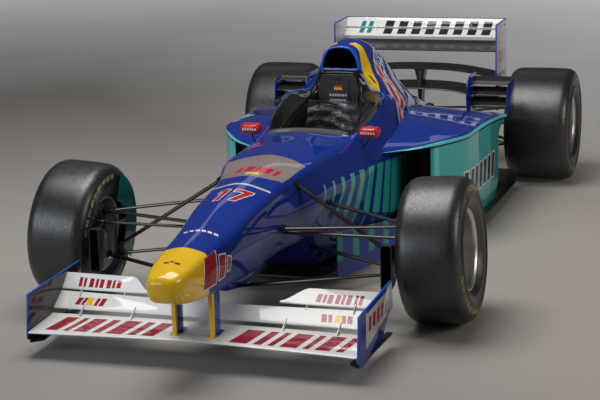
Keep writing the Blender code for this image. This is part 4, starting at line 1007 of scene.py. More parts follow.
BODY = body_paint()
COVER = cover_paint()
POD = pod_paint()
DARK = carbon("dark_carbon", (0.008, 0.008, 0.009), 0.38, 0.35)
SHELL = carbon("grey_carbon", (0.014, 0.014, 0.015), 0.32, 0.4)
TRIM = plain_paint("black_trim", (0.006, 0.006, 0.0065), 0.28, 0.004)
EDGE = plain_paint("edge_blue", (0.015, 0.11, 0.62), 0.3)
STEEL = metal("dark_steel", (0.085, 0.072, 0.066), 0.24)
BOLT = metal("bolt_steel", (0.42, 0.42, 0.43), 0.28)


def nose():
    """The nose with its two wing pylons."""
    piece("nose_skin", hull(NOSE_ROWS, fine=8, arc=8), BODY, ["nose_cone"], 38)
    for side, word in SIDES:
        x = side * 0.08
        ring_rows = []
        for z, front, rear in ((0.345, -0.786, -0.686), (0.23, -0.782, -0.688),
                               (0.112, -0.7775, -0.6905)):
            ring = []
            for a in circle(24):
                along = math.cos(a)
                across = math.sin(a) * (1.0 if along < 0 else 1 - 0.55 * along)
                middle, reach = (front + rear) / 2, (rear - front) / 2
                blunt = max(-1.0, min(1.0, along * 1.25)) if along < 0 else along
                ring.append((x + 0.012 * math.copysign(abs(across) ** 0.5, across), middle
                             + reach * blunt, z))
            ring_rows.append(ring)
        piece(f"pylon_{word}", loft(ring_rows), PYLON)
        foot = plate(rounded([(x - 0.02, -0.79, 0.006), (x + 0.02, -0.79, 0.006),
                              (x + 0.02, -0.68, 0.006), (x - 0.02, -0.68, 0.006)], 4), 0.003, "Z", 0.1225)
        piece(f"pylon_foot_{word}", foot, PYLON)
        bolts = [rod((x + dx, y, 0.1225), (x + dx, y, 0.1268), 0.0032, 6) for dx in (-0.016, 0.016)
                 for y in (-0.768, -0.704)]
        piece(f"pylon_bolts_{word}", bolts, BOLT, sharp=30)


def tub_and_cockpit():
    """The hollow tub, the padded rim round its opening and the edging along it."""
    skin = hull(TUB_ROWS, fine=8, arc=7)
    well = []
    for z, grow in ((0.098, -0.012), (0.56, -0.01), (1.0, -0.01)):
        left = [(o[0] + grow, o[1] - (0.01 if k > 5 else 0), z) for k, (o, _) in enumerate(RIM_PATH[:9])]
        left[0] = (0.15, 0.8, z)
        left.insert(1, (0.188, 0.812, z))
        well.append(left + [(-x, y, zz) for x, y, zz in reversed(left)])
    tub = cut(skin, loft(well))
    obj = piece("tub_skin", [tub, hull(KEEL_ROWS, fine=4, arc=5)], BODY, ["monocoque"], 38)
    paint_faces(obj, DARK, lambda c, n: abs(c.x) < 0.262 and 0.79 < c.y < 1.37 and c.z < 0.74
                and (abs(n.z) < 0.5 or c.z < 0.2))
    whole = RIM_PATH + [((-o[0], o[1], o[2]), (-i[0], i[1], i[2])) for o, i in reversed(RIM_PATH)]
    rings = []
    for k, (o, i) in enumerate(whole):
        o, i = Vector(o), Vector(i)
        flat = Vector((i.x - o.x, i.y - o.y, 0)).normalized()
        low = 0.15 if 7 < k < len(whole) - 8 else 0.12
        rings.append(soft([(o - flat * 0.003 - Vector((0, 0, 0.06)), 0.004),
                           (o - flat * 0.003 + Vector((0, 0, 0.001)), 0.006),
                           (o + flat * 0.006 + Vector((0, 0, 0.003)), 0.006),
                           (o.lerp(i, 0.55) + Vector((0, 0, -0.004)), 0.02), (i, 0.007),
                           (i + flat * 0.01 - Vector((0, 0, 0.022)), 0.01),
                           (i + flat * 0.006 - Vector((0, 0, low)), 0.006),
                           (o + flat * 0.012 - Vector((0, 0, 0.1)), 0.006)], 4))
    rim = loft(eased(rings, 5))
    piece("cockpit_rim", rim, TRIM, ["cockpit_surround"], 50)
    line = [Vector(o) + Vector((0.002 if o[0] > 0.2 else 0, 0.002, 0.004)) for o, i in RIM_PATH[4:10]]
    for side, word in SIDES:
        path = [(side * p.x, p.y, p.z) for p in line]
        piece(f"rim_edging_{word}", tube(path, 0.0032, 10, 6), EDGE, sharp=60)
    inner = [Vector(i) + Vector((0, 0, 0.002)) for o, i in RIM_PATH]
    path = inner + [Vector((-p.x, p.y, p.z)) for p in reversed(inner)]
    piece("rim_lip", tube(path, 0.0045, 10, 5), TRIM, sharp=60)


def coaming():
    """The low lip that closes the cockpit in front."""
    rows = []
    for k in range(33):
        x = -0.204 + 0.408 * k / 32
        bend = (x / 0.204) ** 2
        z = 0.6565 - 0.0165 * bend - 0.004 * bend**3
        y = 0.792 + 0.012 * bend
        rows.append([(x, y + dy, z + dz) for dy,
                     dz in ((-0.03, -0.006), (-0.027, 0.001), (-0.004, 0.0075), (0.012, 0.012),
                            (0.0165, 0.0105), (0.014, 0.004), (0.006, -0.014), (-0.01, -0.016))])
    piece("coaming", loft(rows), GREY_TRIM, sharp=50)
    dash = plate(rounded([(-0.19, 0.6, 0.02), (0.19, 0.6, 0.02), (0.198, 0.632, 0.01), (0.1, 0.652, 0.04),
                          (-0.1, 0.652, 0.04), (-0.198, 0.632, 0.01)], 5), 0.006, "Y", 0.806)
    piece("dash_panel", dash, DARK)
    dials = [rod((x, 0.8085, 0.628), (x, 0.8145, 0.628), 0.014, 24) for x in (-0.065, 0.0, 0.065)]
    piece("dash_dials", dials, TRIM, sharp=30)


def seat():
    """The bucket seat under a creased film."""
    base = 0.0833
    side_view = [(0.52, base + 0.08), (0.7, base + 0.035), (0.95, base), (1.09, base + 0.038),
                 (1.2, base + 0.195), (1.272, base + 0.38), (1.288, base + 0.44), (1.296, base + 0.52),
                 (1.306, base + 0.6), (1.312, base + 0.63)]
    along = [p[0] for p in eased([[(0, y, z)] for y, z in side_view], 14)]
    grid = []
    for i, (_, y, z) in enumerate(along):
        before, after = Vector(along[max(i - 1, 0)]), Vector(along[min(i + 1, len(along) - 1)])
        run = (after - before).normalized()
        normal = Vector((0, -run.z, run.y))
        row = []
        for k in range(61):
            s = -1 + 2 * k / 60
            lift = 0.11 * max(0.0, (abs(s) - 0.45) / 0.55) ** 1.7
            if z > 0.3:
                lift = 0.085 * abs(s) ** 2.2
            half = 0.178 if z < 0.4 else 0.178 - (z - 0.4) * 0.16
            fold = 0.0
            if z > 0.25:
                fold = 0.0045 * math.sin(z * 120 + 3.0 * math.sin(s * 2.6)) + 0.003 * math.sin(z * 71
                        - s * 7.0 + 1.0)
                fold += 0.002 * math.sin(s * 17 + z * 33) + 0.0018 * abs(math.sin(z * 205 + s * 4.0))
            point = Vector((s * half, y, z)) + normal * (lift + fold)
            row.append(tuple(point))
        grid.append(row)
    piece("seat_shell", sheet(grid, 0.005, (0, 0.35, -0.9)), SEAT, ["seat"], 60)


def headrest():
    """A pad behind the seat with a marked board."""
    pad = loft([[(x, y, z) for x,
                 z in ((p.x, p.y)
                       for p in rounded([(-0.1, 0.69, 0.02), (0.1, 0.69, 0.02), (0.112, 0.76, 0.02),
                                         (0.09, 0.846, 0.02), (-0.09, 0.846, 0.02), (-0.112, 0.76, 0.02)],
                                        6))] for y in (1.324, 1.344)])
    piece("headrest_pad", pad, DARK, sharp=45, bevel=0.002)
    board = plate(rounded([(-0.056, 0.688, 0.006), (0.056, 0.688, 0.006), (0.056, 0.812, 0.01),
                           (-0.056, 0.812, 0.01)], 5), 0.004, "Y", 1.3215)
    piece("headrest_board", board, BOARD)


def cover():
    """The engine cover with its hollow airbox and the duct inside it."""
    skin = hull(COVER_ROWS, fine=8, arc=7)
    rows = []
    for y, corners, round_by, top in COVER_ROWS:
        rows.append((y, [(corners[0][0], corners[0][1] - 0.1)] + corners[1:], round_by, top))
    rows.append((2.9, *rows[-1][1:]))
    inside = hull(rows, -0.008, 4, 7, low=1.381)
    mouth_corners = [(0.099, 0.868), (0.085, 0.93), (0.056, 0.972)]
    mouth = hull([(1.3, mouth_corners, 0.018, 0.983), (1.42, mouth_corners, 0.018, 0.983),
                  (1.52, [(0.082, 0.88), (0.078, 0.922), (0.048, 0.958)], 0.022, 0.968)], 0, 3, 6)
    shell = cut(skin, inside, mouth, solver="MANIFOLD")
    piece("cover_skin", shell, COVER, ["engine_cover"], 38)
    throat = [(0.06, 0.8), (0.06, 0.85), (0.04, 0.9)]
    outer = hull([(1.368, mouth_corners, 0.018, 0.983), (1.7, throat, 0.022, 0.91)], 0.003, 5, 6)
    inner = hull([(1.36, mouth_corners, 0.018, 0.983), (1.69, throat, 0.022, 0.91)], 0.0, 5, 6)
    piece("airbox_duct", cut(outer, inner), DARK, sharp=45)
    half = [(w, z, 0.018) for w, z in mouth_corners]
    ring = rounded(half + [(0, 0.983, 0.036)] + [(-w, z, r) for w, z, r in reversed(half)], 9)
    path = [(p.x * 1.02, 1.3635, 0.925 + (p.y - 0.925) * 1.02) for p in ring]
    piece("airbox_rim", tube(path, 0.0058, 12, 1, True), EDGE, sharp=60)


def pylon_paint():
    """Blue sides with a yellow face towards the front."""
    look = gloss("pylon_paint")
    face = look.y.below(-0.769, 0.002)
    return paint_finish(look, look.blend(BLUE, (YELLOW, face)))


def front_plate_paint():
    """Blue outside with a pale field, a dark strip and short bars; dark inside."""
    look = gloss("front_plate_paint")
    y, z, ax = look.y, look.z, look.x.abs()
    outside = ax.above(0.7005, 0.001)
    field = look.poly(y, z, [(-0.735, 0.105), (-0.42, 0.15), (-0.375, 0.25), (-0.735, 0.245)])
    bars = slant_bars(look, y, z, bar_row(-0.7, -0.664, 0.062, 5), 0.165, 0.222, 0.01)
    low_bars = slant_bars(look, y, z, bar_row(-0.56, -0.541, 0.034, 5), 0.122, 0.142, 0.004)
    shade = look.noise(8, 3).above(0.5, 0.4)
    colour = look.blend((0.03, 0.026, 0.024), ((0.012, 0.011, 0.011), shade * 0.7), (BLUE, outside),
                        (GREY_WHITE, field.below(0, 0.0015) * outside),
                        (DARK_RED, bars.below(0, 0.001) * outside),
                        (BLACK, low_bars.below(0, 0.001) * outside))
    return paint_finish(look, colour)


def rear_plate_paint():
    """A pale upper field over blue, with leaning bars and a dark split line."""
    look = gloss("rear_plate_paint")
    y, z = look.y, look.z
    field = z.above(0.598, 0.0015)
    edge = y.below(2.962, 0.001).most(z.above(0.8935, 0.001))
    bars = slant_bars(look, y, z, bar_row(3.01, 3.034, 0.042, 5), 0.66, 0.735, 0.012)
    cells = slant_bars(look, y, z, bar_row(2.995, 3.012, 0.03, 7), 0.43, 0.47, 0.006)
    colour = look.blend(BLUE, (GREY_WHITE, field), (DARK_RED, bars.below(0, 0.001) * field),
                        (WHITE, cells.below(0, 0.001)), (EDGE_TONE, edge),
                        (BLACK, (z - 0.598).abs().below(0.0016, 0.001)))
    return paint_finish(look, colour)


def mirror_paint():
    """Red shells with a row of pale dashes on the front."""
    look = gloss("mirror_paint")
    x, z = look.x.abs(), look.z
    dashes = slant_bars(look, x, z, bar_row(0.262, 0.2695, 0.0125, 6), 0.648, 0.659, 0.002)
    front = look.y.below(0.8, 0.002)
    return paint_finish(look, look.blend(RED, (WHITE, dashes.below(0, 0.0008) * front)))


def headrest_paint():
    """Dark board with a patch of three bars over two lines of dashes."""
    look = Look("headrest_board", 0.5, 0.0, 0.2)
    x, z = look.x, look.z
    patch = look.poly(x, z, [(-0.022, 0.768), (0.022, 0.768), (0.022, 0.804), (-0.022, 0.804)])
    middle = patch.most(z - 0.792)
    last = patch.most(z - 0.78)
    lines = union(slant_bars(look, x, z, bar_row(-0.046, -0.037, 0.0135, 7), 0.735, 0.747, 0.001),
                  slant_bars(look, x, z, bar_row(-0.042, -0.034, 0.012, 7), 0.708, 0.72, 0.001))
    grain = look.noise(300, 2)
    look.colour(look.blend((0.02, 0.02, 0.022), (BLACK, patch.below(0, 0.0008)),
                           (RED, middle.below(0, 0.0008)), (YELLOW, last.below(0, 0.0008)),
                           (GREY_WHITE, lines.below(0, 0.0008)),
                           ((0.05, 0.05, 0.05), grain.above(0.6, 0.2) * 0.2)))
    look.rough(grain * 0.2 + 0.4)
    return look


def cloth(name, colour, roughness):
    """Creased cloth with a fine thread."""
    look = Look(name, roughness, 0.0, 0.0)
    crease = look.noise(22, 4)
    thread = look.noise(600, 1)
    look.colour(look.blend(colour, (tuple(c * 0.55 for c in colour), crease.above(0.5, 0.3) * 0.6),
                           (tuple(min(1, c * 1.5) for c in colour), thread.above(0.6, 0.2) * 0.15)))
    look.rough(crease * 0.2 + roughness - 0.1)
    look.bump(thread + crease * 2.0, 0.0008, 0.5)
    return look


def crumpled_look():
    """Crumpled film over the seat: dark, with a painted highlight along its sharp creases."""
    look = Look("seat_film", 0.34, 0.0, 0.35)
    spot = look.joined(look.x * 7.0, look.y * 16.0, look.z * 22.0)
    fold = look.noise(1.0, 5, 0.6, at=spot)
    crease_and_highlight = (fold - 0.5).abs().below(0.035, 0.06)
    tone = look.noise(5, 3)
    # The crease ridges are painted paler: a painted highlight on the glossy film, and the same ridges raise
    # the bump.
    look.colour(look.blend((0.06, 0.062, 0.068), ((0.18, 0.19, 0.205), crease_and_highlight * 0.5),
                           ((0.018, 0.018, 0.02), tone.above(0.52, 0.3) * 0.6)))
    look.rough(fold * 0.3 + 0.18)
    look.bump(crease_and_highlight + fold * 2.0, 0.004, 0.9)
    return look


def core_look():
    """Soldered tubes and folded fins, their colour darkened as painted shade inside the duct."""
    look = Look("radiator_core", 0.7, 0.1, 0.0, specular_ior_level=0.2)
    rows = (look.z * 110.0).op("FRACT").above(0.5, 0.2)
    dust = look.noise(30, 3).above(0.6, 0.2) * 0.3
    # Very dark base and rows: the core's own dark colour, darkened further as painted shade inside the
    # pod's duct.
    look.colour(look.blend((0.03, 0.03, 0.032), ((0.01, 0.01, 0.01), rows), ((0.05, 0.04, 0.03), dust)))
    look.rough(look.noise(40, 3) * 0.3 + 0.55)
    look.bump(rows, 0.0015, 0.6)
    return look


def lens_look():
    """Red lens with small square cells."""
    look = Look("red_lens", 0.18, 0.0, 0.6)
    across, up = ((n * 180.0).op("FRACT").above(0.5, 0.2) * 0.5 for n in (look.x, look.z))
    cells = across + up
    look.colour(look.blend((0.34, 0.008, 0.008), ((0.12, 0.003, 0.003), cells * 0.7)))
    look.rough(cells * 0.1 + 0.12)
    look.bump(cells, 0.0006, 0.5)
    return look


def glass_look():
    """Silvered glass with a slight haze."""
    look = Look("mirror_glass", 0.04, 1.0)
    haze = look.noise(14, 3).above(0.5, 0.4)
    look.colour(look.blend((0.72, 0.74, 0.76), ((0.5, 0.52, 0.54), haze * 0.3)))
    look.rough(haze * 0.06 + 0.02)
    return look


def wood_look():
    """Worn wood, its grain along the car."""
    look = Look("plank_wood", 0.6)
    grain = look.noise(12, 5, 0.6, at=look.joined(look.x * 9.0, look.y * 0.6, look.z * 9.0))
    scrape = look.noise(4, 4).above(0.5, 0.3) * 0.4
    look.colour(look.blend((0.16, 0.095, 0.045), ((0.075, 0.045, 0.025), grain.above(0.48, 0.25)),
                           ((0.05, 0.05, 0.05), scrape)))
    look.rough(grain * 0.3 + 0.45)
    look.bump(grain, 0.0005, 0.5)
    return look


def barge_paint():
    """Blue boards with narrow teal stripes."""
    look = gloss("barge_paint")
    y, z = look.y, look.z
    stripes = (y * 9.0).op("FRACT").above(0.62, 0.02) * z.above(0.15, 0.002)
    return paint_finish(look, look.blend(BLUE, (DEEP_TEAL, stripes)))


EDGE_TONE = (0.015, 0.11, 0.62)
PYLON = pylon_paint()
GREY_TRIM = plain_paint("grey_trim", (0.07, 0.07, 0.078), 0.3, 0.02)
SEAT = crumpled_look()
BOARD = headrest_paint()
CORE = core_look()
WOOD = wood_look()
LENS = lens_look()
GLASS = glass_look()
WING = front_wing_paint()
FRONT_PLATE = front_plate_paint()
REAR_PAINT = rear_wing_paint()
REAR_PLATE = rear_plate_paint()
PLATE_BLUE = plain_paint("plate_blue", BLUE, 0.32)
BRONZE = plain_paint("bronze_black", (0.026, 0.018, 0.015), 0.3)
MIRROR = mirror_paint()
BOARD_PAINT = barge_paint()
GRIP = cloth("grip_suede", (0.022, 0.022, 0.023), 0.8)
SHROUD = plain_paint("shroud_teal", (0.012, 0.12, 0.12), 0.36)
CALIPER = metal("caliper_alloy", (0.28, 0.24, 0.2), 0.34)


# y, half width of the outer wall, height of the roof's outer edge, roof height beside the cockpit, wall
POD_ROWS = [(0.97, 0.335, 0.53, 0.54, 0.018), (1.08, 0.462, 0.535, 0.558, 0.018),
            (1.21, 0.555, 0.54, 0.58, 0.018), (1.4, 0.65, 0.55, 0.608, 0.014),
            (1.55, 0.665, 0.545, 0.614, 0.008), (1.7, 0.672, 0.54, 0.608, 0.008),
            (2.0, 0.685, 0.528, 0.578, 0.008), (2.3, 0.69, 0.49, 0.5, 0.008)]
POD_REAR = [(2.06, 0.0), (2.06, 0.395), (2.068, 0.42), (2.09, 0.44), (2.15, 0.462), (2.285, 0.48),
            (2.42, 0.48), (2.42, 0.0)]
POD_INNER_X = 0.18
SILL = 0.0603
KNEE_Z = 0.165
SKIN_DEPTH = 0.0016


def pod_skin(hollow):
    """The pod's outer form, or the form of the space inside it."""
    rings = []
    for y, x, edge, roof, wall in POD_ROWS:
        foot = SILL - (0.1 if hollow else 0)
        side_x = x - wall if hollow else x
        down = 0.008 if hollow else 0
        low_x = side_x - 0.022 * (KNEE_Z - foot) / (KNEE_Z - SILL)
        mid_x = POD_INNER_X + (side_x - POD_INNER_X) * 0.6
        mid_z = edge + (roof + 0.01 - edge) * 0.42 + 0.004 - down
        corners = [(POD_INNER_X, foot, 0.002), (low_x, foot, 0.004), (side_x, KNEE_Z, 0.04),
                   (side_x, edge - down, 0.02), (mid_x, mid_z, 0.1),
                   (POD_INNER_X, roof + 0.01 - down, 0.002)]
        rings.append([(p.x, y, p.y) for p in rounded(corners, 9)])
    fine = eased(rings, 8)
    if hollow:
        fine[0] = [(x, 0.9, z) for x, y, z in fine[0]]
        fine[-1] = [(x, 2.4, z) for x, y, z in fine[-1]]
    return loft(fine)


def bare_tree(mesh):
    """A tree of a mesh's faces, to measure distances to it."""
    corners = [v.co.copy() for v in mesh.vertices]
    return BVHTree.FromPolygons(corners, [list(f.vertices) for f in mesh.polygons])


def inner_face(outer, side):
    """A test for the faces of the pod's inner skin behind the inlet."""
    def within(centre, normal):
        depth = outer.find_nearest((side * centre.x, centre.y, centre.z))[3] or 0
        return depth > SKIN_DEPTH and centre.y > 1.2
    return within


def pods():
    """Pod shells with dark insides, and the radiator, baffle and pipe in each duct."""
    mouth = box((0.1, 0.9, -0.1), (0.8, 1.175, 0.523))
    rear = plate(rounded([(y, z, 0.02) for y, z in POD_REAR], 5), 0.5, "X", 0.7)
    shell = cut(pod_skin(False), pod_skin(True), mouth, rear)
    outer = bare_tree(pod_skin(False))
    for side, skin in zip((1, -1), pair("pod_skin", shell, POD, "sidepod", 38)):
        paint_faces(skin, DARK, inner_face(outer, side))
    core = box((0.362, 1.721, SILL + 0.001), (0.628, 1.789, 0.469), 0.003)
    bars = [box((0.36, 1.712, z), (0.63, 1.722, z + 0.01)) for z in (0.062, 0.2, 0.335, 0.459)]
    fins = [box((0.366 + 0.0064 * k, 1.7165, 0.066), (0.3675 + 0.0064 * k, 1.7215, 0.466))
            for k in range(41)]
    pair("radiator_core", core, CORE, "radiator")
    pair("radiator_fins", fins + bars, CORE)
    pipe = tube([(0.4, 1.8, 0.38), (0.38, 1.84, 0.38), (0.33, 1.88, 0.35), (0.26, 1.93, 0.32)], 0.018, 16,
                6)
    pair("radiator_pipe", pipe, DARK)
    pair("duct_baffle", box((0.231, 1.733, SILL + 0.001), (0.3625, 1.741, 0.5), 0.001), DARK)
    pair("sill_rivets", [rod((0.655, y, 0.0655), (0.663, y, 0.0685), 0.003, 8)
                         for y in (1.62, 1.74, 1.86, 1.98)], BOLT)


# x, y of the floor's left edge from the splitter to the gearbox
FLOOR_EDGE = [
    (0.15, 0.33), (0.215, 0.4), (0.24, 0.52), (0.25, 0.9), (0.42, 1.02), (0.56, 1.18),
    (0.65, 1.34), (0.685, 1.5), (0.7, 1.8), (0.705, 2.52), (0.56, 2.54), (0.54, 2.64),
]
# y of the diffuser's roof and how far it has risen there
DIFFUSER_RISE = [(2.6403, 0.0), (2.8, 0.026), (2.96, 0.07), (3.12, 0.13)]
KICK_STEPS = 12


def floor_parts():
    """Floor, kick ups beside the rear wheels, skid plank and diffuser."""
    edge = [(x, y, 0.04) for x, y in FLOOR_EDGE]
    outline = rounded(edge + [(-x, y, r) for x, y, r in reversed(edge)], 5)
    piece("floor_plate", plate(outline, 0.01, "Z", 0.055, 0.0015), DARK, ["floor"])
    for side, word in SIDES:
        rows = []
        for k in range(KICK_STEPS + 1):
            t = k / KICK_STEPS
            up = 0.052 * t**1.7 + 0.0006
            section = ((0.58, 0.0505), (0.7035, 0.0505), (0.7035, 0.0595), (0.58, 0.0595))
            rows.append([(side * x, 2.43 + 0.161 * t, z + up) for x, z in section])
        fin = [(2.43, 0.058), (2.591, 0.108), (2.591, 0.12), (2.56, 0.12), (2.43, 0.07)]
        piece(f"floor_kick_{word}", [loft(rows), plate(fin, 0.004, "X", side * 0.582)], DARK)
    piece("plank", box((-0.15, 0.42, 0.04), (0.15, 2.62, 0.0497), 0.0015), WOOD, ["skid_plank"])
    spots = [(x, y) for x in (-0.105, 0.105) for y in (0.52, 1.5, 2.5)]
    piece("plank_pucks", [rod((x, y, 0.04), (x, y, 0.0404), 0.02, 32) for x, y in spots], BOLT)
    rings = []
    for y, up in DIFFUSER_RISE:
        rings.append([(-0.36, y, 0.05 + up), (0.36, y, 0.05 + up), (0.36, y, 0.06 + up),
                      (-0.36, y, 0.06 + up)])
    fence = rounded([(2.645, 0.046, 0.004), (3.115, 0.06, 0.006), (3.115, 0.19, 0.012),
                     (2.96, 0.132, 0.02), (2.645, 0.062, 0.004)], 4)
    fences = [plate(fence, 0.006, "X", x, 0.0015) for x in (-0.355, -0.13, 0.13, 0.355)]
    piece("diffuser_ramp", [loft(eased(rings, 8)), *fences], DARK, ["diffuser"])


GEARBOX_ROWS = [
    (2.3, [(0.13, 0.1), (0.15, 0.18), (0.14, 0.34), (0.09, 0.4)], 0.02, 0.41),
    (2.7, [(0.1, 0.13), (0.125, 0.2), (0.115, 0.35), (0.07, 0.4)], 0.018, 0.41),
    (3.02, [(0.07, 0.17), (0.09, 0.22), (0.085, 0.36), (0.055, 0.4)], 0.016, 0.408),
]
TAIL_ROWS = [
    (3.0203, [(0.05, 0.23), (0.062, 0.25), (0.06, 0.35), (0.04, 0.38)], 0.012, 0.388),
    (3.32, [(0.034, 0.262), (0.042, 0.275), (0.04, 0.335), (0.028, 0.352)], 0.01, 0.358),
]
RIB_PLACES = (2.4, 2.56, 2.72, 2.88, 3.0)


def gearbox_at(y):
    """The gearbox section between its rows."""
    for (ya, ca, ra, ta), (yb, cb, rb, tb) in zip(GEARBOX_ROWS, GEARBOX_ROWS[1:]):
        if ya <= y <= yb:
            t = (y - ya) / (yb - ya)
            corners = [(a + (c - a) * t, b + (d - b) * t) for (a, b), (c, d) in zip(ca, cb)]
            return corners, ra + (rb - ra) * t, ta + (tb - ta) * t
    return GEARBOX_ROWS[-1][1:]


def powertrain():
    """Engine block, gearbox with ribs, crash structure and rain light."""
    piece("engine_lump", box((-0.229, 1.621, 0.0605), (0.229, 2.299, 0.399), 0.012), CAST,
          ["engine_block"])
    piece("gearbox_case", hull(GEARBOX_ROWS, 0.0, 5, 6), CAST, ["gearbox"], 38)
    ribs = [hull([(y, *gearbox_at(y)), (y + 0.008, *gearbox_at(y + 0.008))], 0.004, 1, 6)
            for y in RIB_PLACES]
    piece("gearbox_ribs", ribs, CAST, sharp=38)
    piece("crash_box", hull(TAIL_ROWS, 0.0, 4, 5), DARK, ["crash_structure"], 38)
    piece("rain_lens", box((-0.031, 3.3215, 0.276), (0.031, 3.3385, 0.334), 0.004), LENS, ["rain_light"])
    spots = [(-0.022 + 0.011 * i, 0.287 + 0.0125 * j) for i in range(5) for j in range(4)]
    piece("rain_lamps", [rod((x, 3.3375, z), (x, 3.3398, z), 0.0036, 12) for x, z in spots], LENS)


# Wings: half span station x, then y and z of the leading and of the trailing edge
FRONT_END = 0.6957
FRONT_MAIN = [(0.0, -0.832, 0.115, -0.618, 0.126), (0.35, -0.84, 0.111, -0.616, 0.124),
              (FRONT_END, -0.851, 0.105, -0.622, 0.121)]
FRONT_SECOND = [(0.0, -0.609, 0.142, -0.556, 0.194), (0.35, -0.608, 0.141, -0.54, 0.193),
                (FRONT_END, -0.612, 0.14, -0.525, 0.192)]
FLAP_START, FLAP_FULL, FLAP_STEPS = 0.288, 0.394, 24
FRONT_PLATE_OUTLINE = [(-0.851, 0.08, 0.006), (-0.826, 0.262, 0.012), (-0.336, 0.271, 0.008),
                       (-0.322, 0.155, 0.01), (-0.42, 0.13, 0.03), (-0.5, 0.06, 0.02), (-0.8, 0.05, 0.02)]
FRONT_SKID = [(0.65, -0.8, 0.02), (0.7, -0.84, 0.01), (0.72, -0.38, 0.02), (0.69, -0.38, 0.006)]
FRONT_BOLTS = [(-0.79, 0.112), (-0.7, 0.116), (-0.58, 0.16), (-0.5, 0.22)]
LOW_BRACKET = [(-0.655, 0.126, 0.003), (-0.626, 0.124, 0.003), (-0.594, 0.15, 0.004),
               (-0.588, 0.166, 0.003), (-0.606, 0.156, 0.006), (-0.64, 0.136, 0.006)]
HIGH_BRACKET = [(-0.552, 0.184, 0.003), (-0.534, 0.188, 0.003), (-0.51, 0.21, 0.004),
                (-0.506, 0.222, 0.003), (-0.528, 0.208, 0.004)]


def front_flap():
    """The upper flap, which rises from nothing beside the nose to its full chord."""
    rows = []
    for k in range(FLAP_STEPS + 1):
        t = k / FLAP_STEPS
        x = FLAP_START + (FRONT_END - FLAP_START) * t
        rise = min(1.0, (x - FLAP_START) / 0.106)
        rise = rise * rise * (3 - 2 * rise) if rise < 1 else 1.0
        lead = Vector((-0.541, 0.208)).lerp(Vector((-0.523, 0.2)), min(1, t * 2))
        beyond = max(0.0, (x - FLAP_FULL) / (FRONT_END - FLAP_FULL))
        full = Vector((-0.456, 0.252)).lerp(Vector((-0.466, 0.257)), beyond)
        tip = Vector((-0.532, 0.216))
        rows.append(blade_ring(x, lead, tip.lerp(full, rise), 0.0075, 0.004 * rise, 12))
    return loft(rows)


def front_wing():
    """Two planes, a flap on each side, and endplates with skids, edge trim and bolts."""
    piece("front_plane", wing(FRONT_MAIN, 0.016, 0.006), WING, ["front_wing_main"], 50)
    piece("front_second", wing(FRONT_SECOND, 0.012, 0.004), WING, ["front_wing_second"],
          50)
    pair("front_blade", front_flap(), WING, "front_flap", 50)
    board = plate(rounded(FRONT_PLATE_OUTLINE, 6), 0.008, "X", 0.7, 0.0016)
    pair("front_board", board, FRONT_PLATE, "front_endplate")
    pair("front_skid", plate(rounded(FRONT_SKID, 5), 0.006, "Z", 0.062, 0.0012), DARK)
    edge = [(0.7005, -0.8495, 0.085), (0.7005, -0.827, 0.26), (0.7005, -0.822, 0.2625),
            (0.7005, -0.342, 0.2708)]
    pair("front_trim", tube(edge, 0.0042, 8, 1), EDGE, sharp=60)
    pair("front_bolts", [rod((0.7035, y, z), (0.706, y, z), 0.0042, 16) for y, z in FRONT_BOLTS], BOLT,
         sharp=30)
    brackets = [plate(rounded(LOW_BRACKET, 4), 0.003, "X", x) for x in (-0.56, -0.33, 0.33, 0.56)]
    brackets += [plate(rounded(HIGH_BRACKET, 4), 0.003, "X", x) for x in (-0.4, 0.4, -0.6, 0.6)]
    piece("front_brackets", brackets, WING)


REAR_END = 0.4957
REAR_MAIN = [(0.0, 2.955, 0.742, 3.15, 0.778), (REAR_END, 2.955, 0.742, 3.15, 0.778)]
REAR_FLAP = [(0.0, 3.14, 0.798, 3.195, 0.838), (REAR_END, 3.14, 0.798, 3.195, 0.838)]
REAR_TOP = [(0.0, 3.188, 0.848, 3.235, 0.902), (REAR_END, 3.188, 0.848, 3.235, 0.902)]
REAR_MID = [
    (0.0, 3.06, 0.612, 3.2, 0.63), (0.25, 3.06, 0.602, 3.2, 0.62), (0.379, 3.06, 0.583, 3.2, 0.601),
    (REAR_END, 3.06, 0.56, 3.2, 0.578),
]
REAR_LOW = [(0.0, 2.99, 0.5, 3.2, 0.52), (0.25, 2.99, 0.487, 3.2, 0.505),
            (REAR_END, 3.0, 0.42, 3.2, 0.44)]
REAR_BRACKET = [(3.17, 0.812, 0.003), (3.2, 0.8, 0.003), (3.232, 0.88, 0.003), (3.2, 0.88, 0.003)]
# z and half width of the pillar between the beams
PILLAR = [(0.377, 0.009), (0.44, 0.011), (0.505, 0.015), (0.56, 0.022), (0.596, 0.031), (0.617, 0.04)]
REAR_PLATE_OUTLINE = [(2.948, 0.9, 0.01), (2.948, 0.6, 0.03), (2.975, 0.48, 0.04), (2.975, 0.38, 0.012),
                      (3.24, 0.38, 0.012), (3.265, 0.56, 0.05), (3.265, 0.905, 0.01)]
REAR_BOLTS = [
    (2.99, 0.752), (3.11, 0.77), (3.165, 0.815), (3.21, 0.87), (3.09, 0.575), (3.17, 0.585), (3.05, 0.43),
    (3.16, 0.44),
]


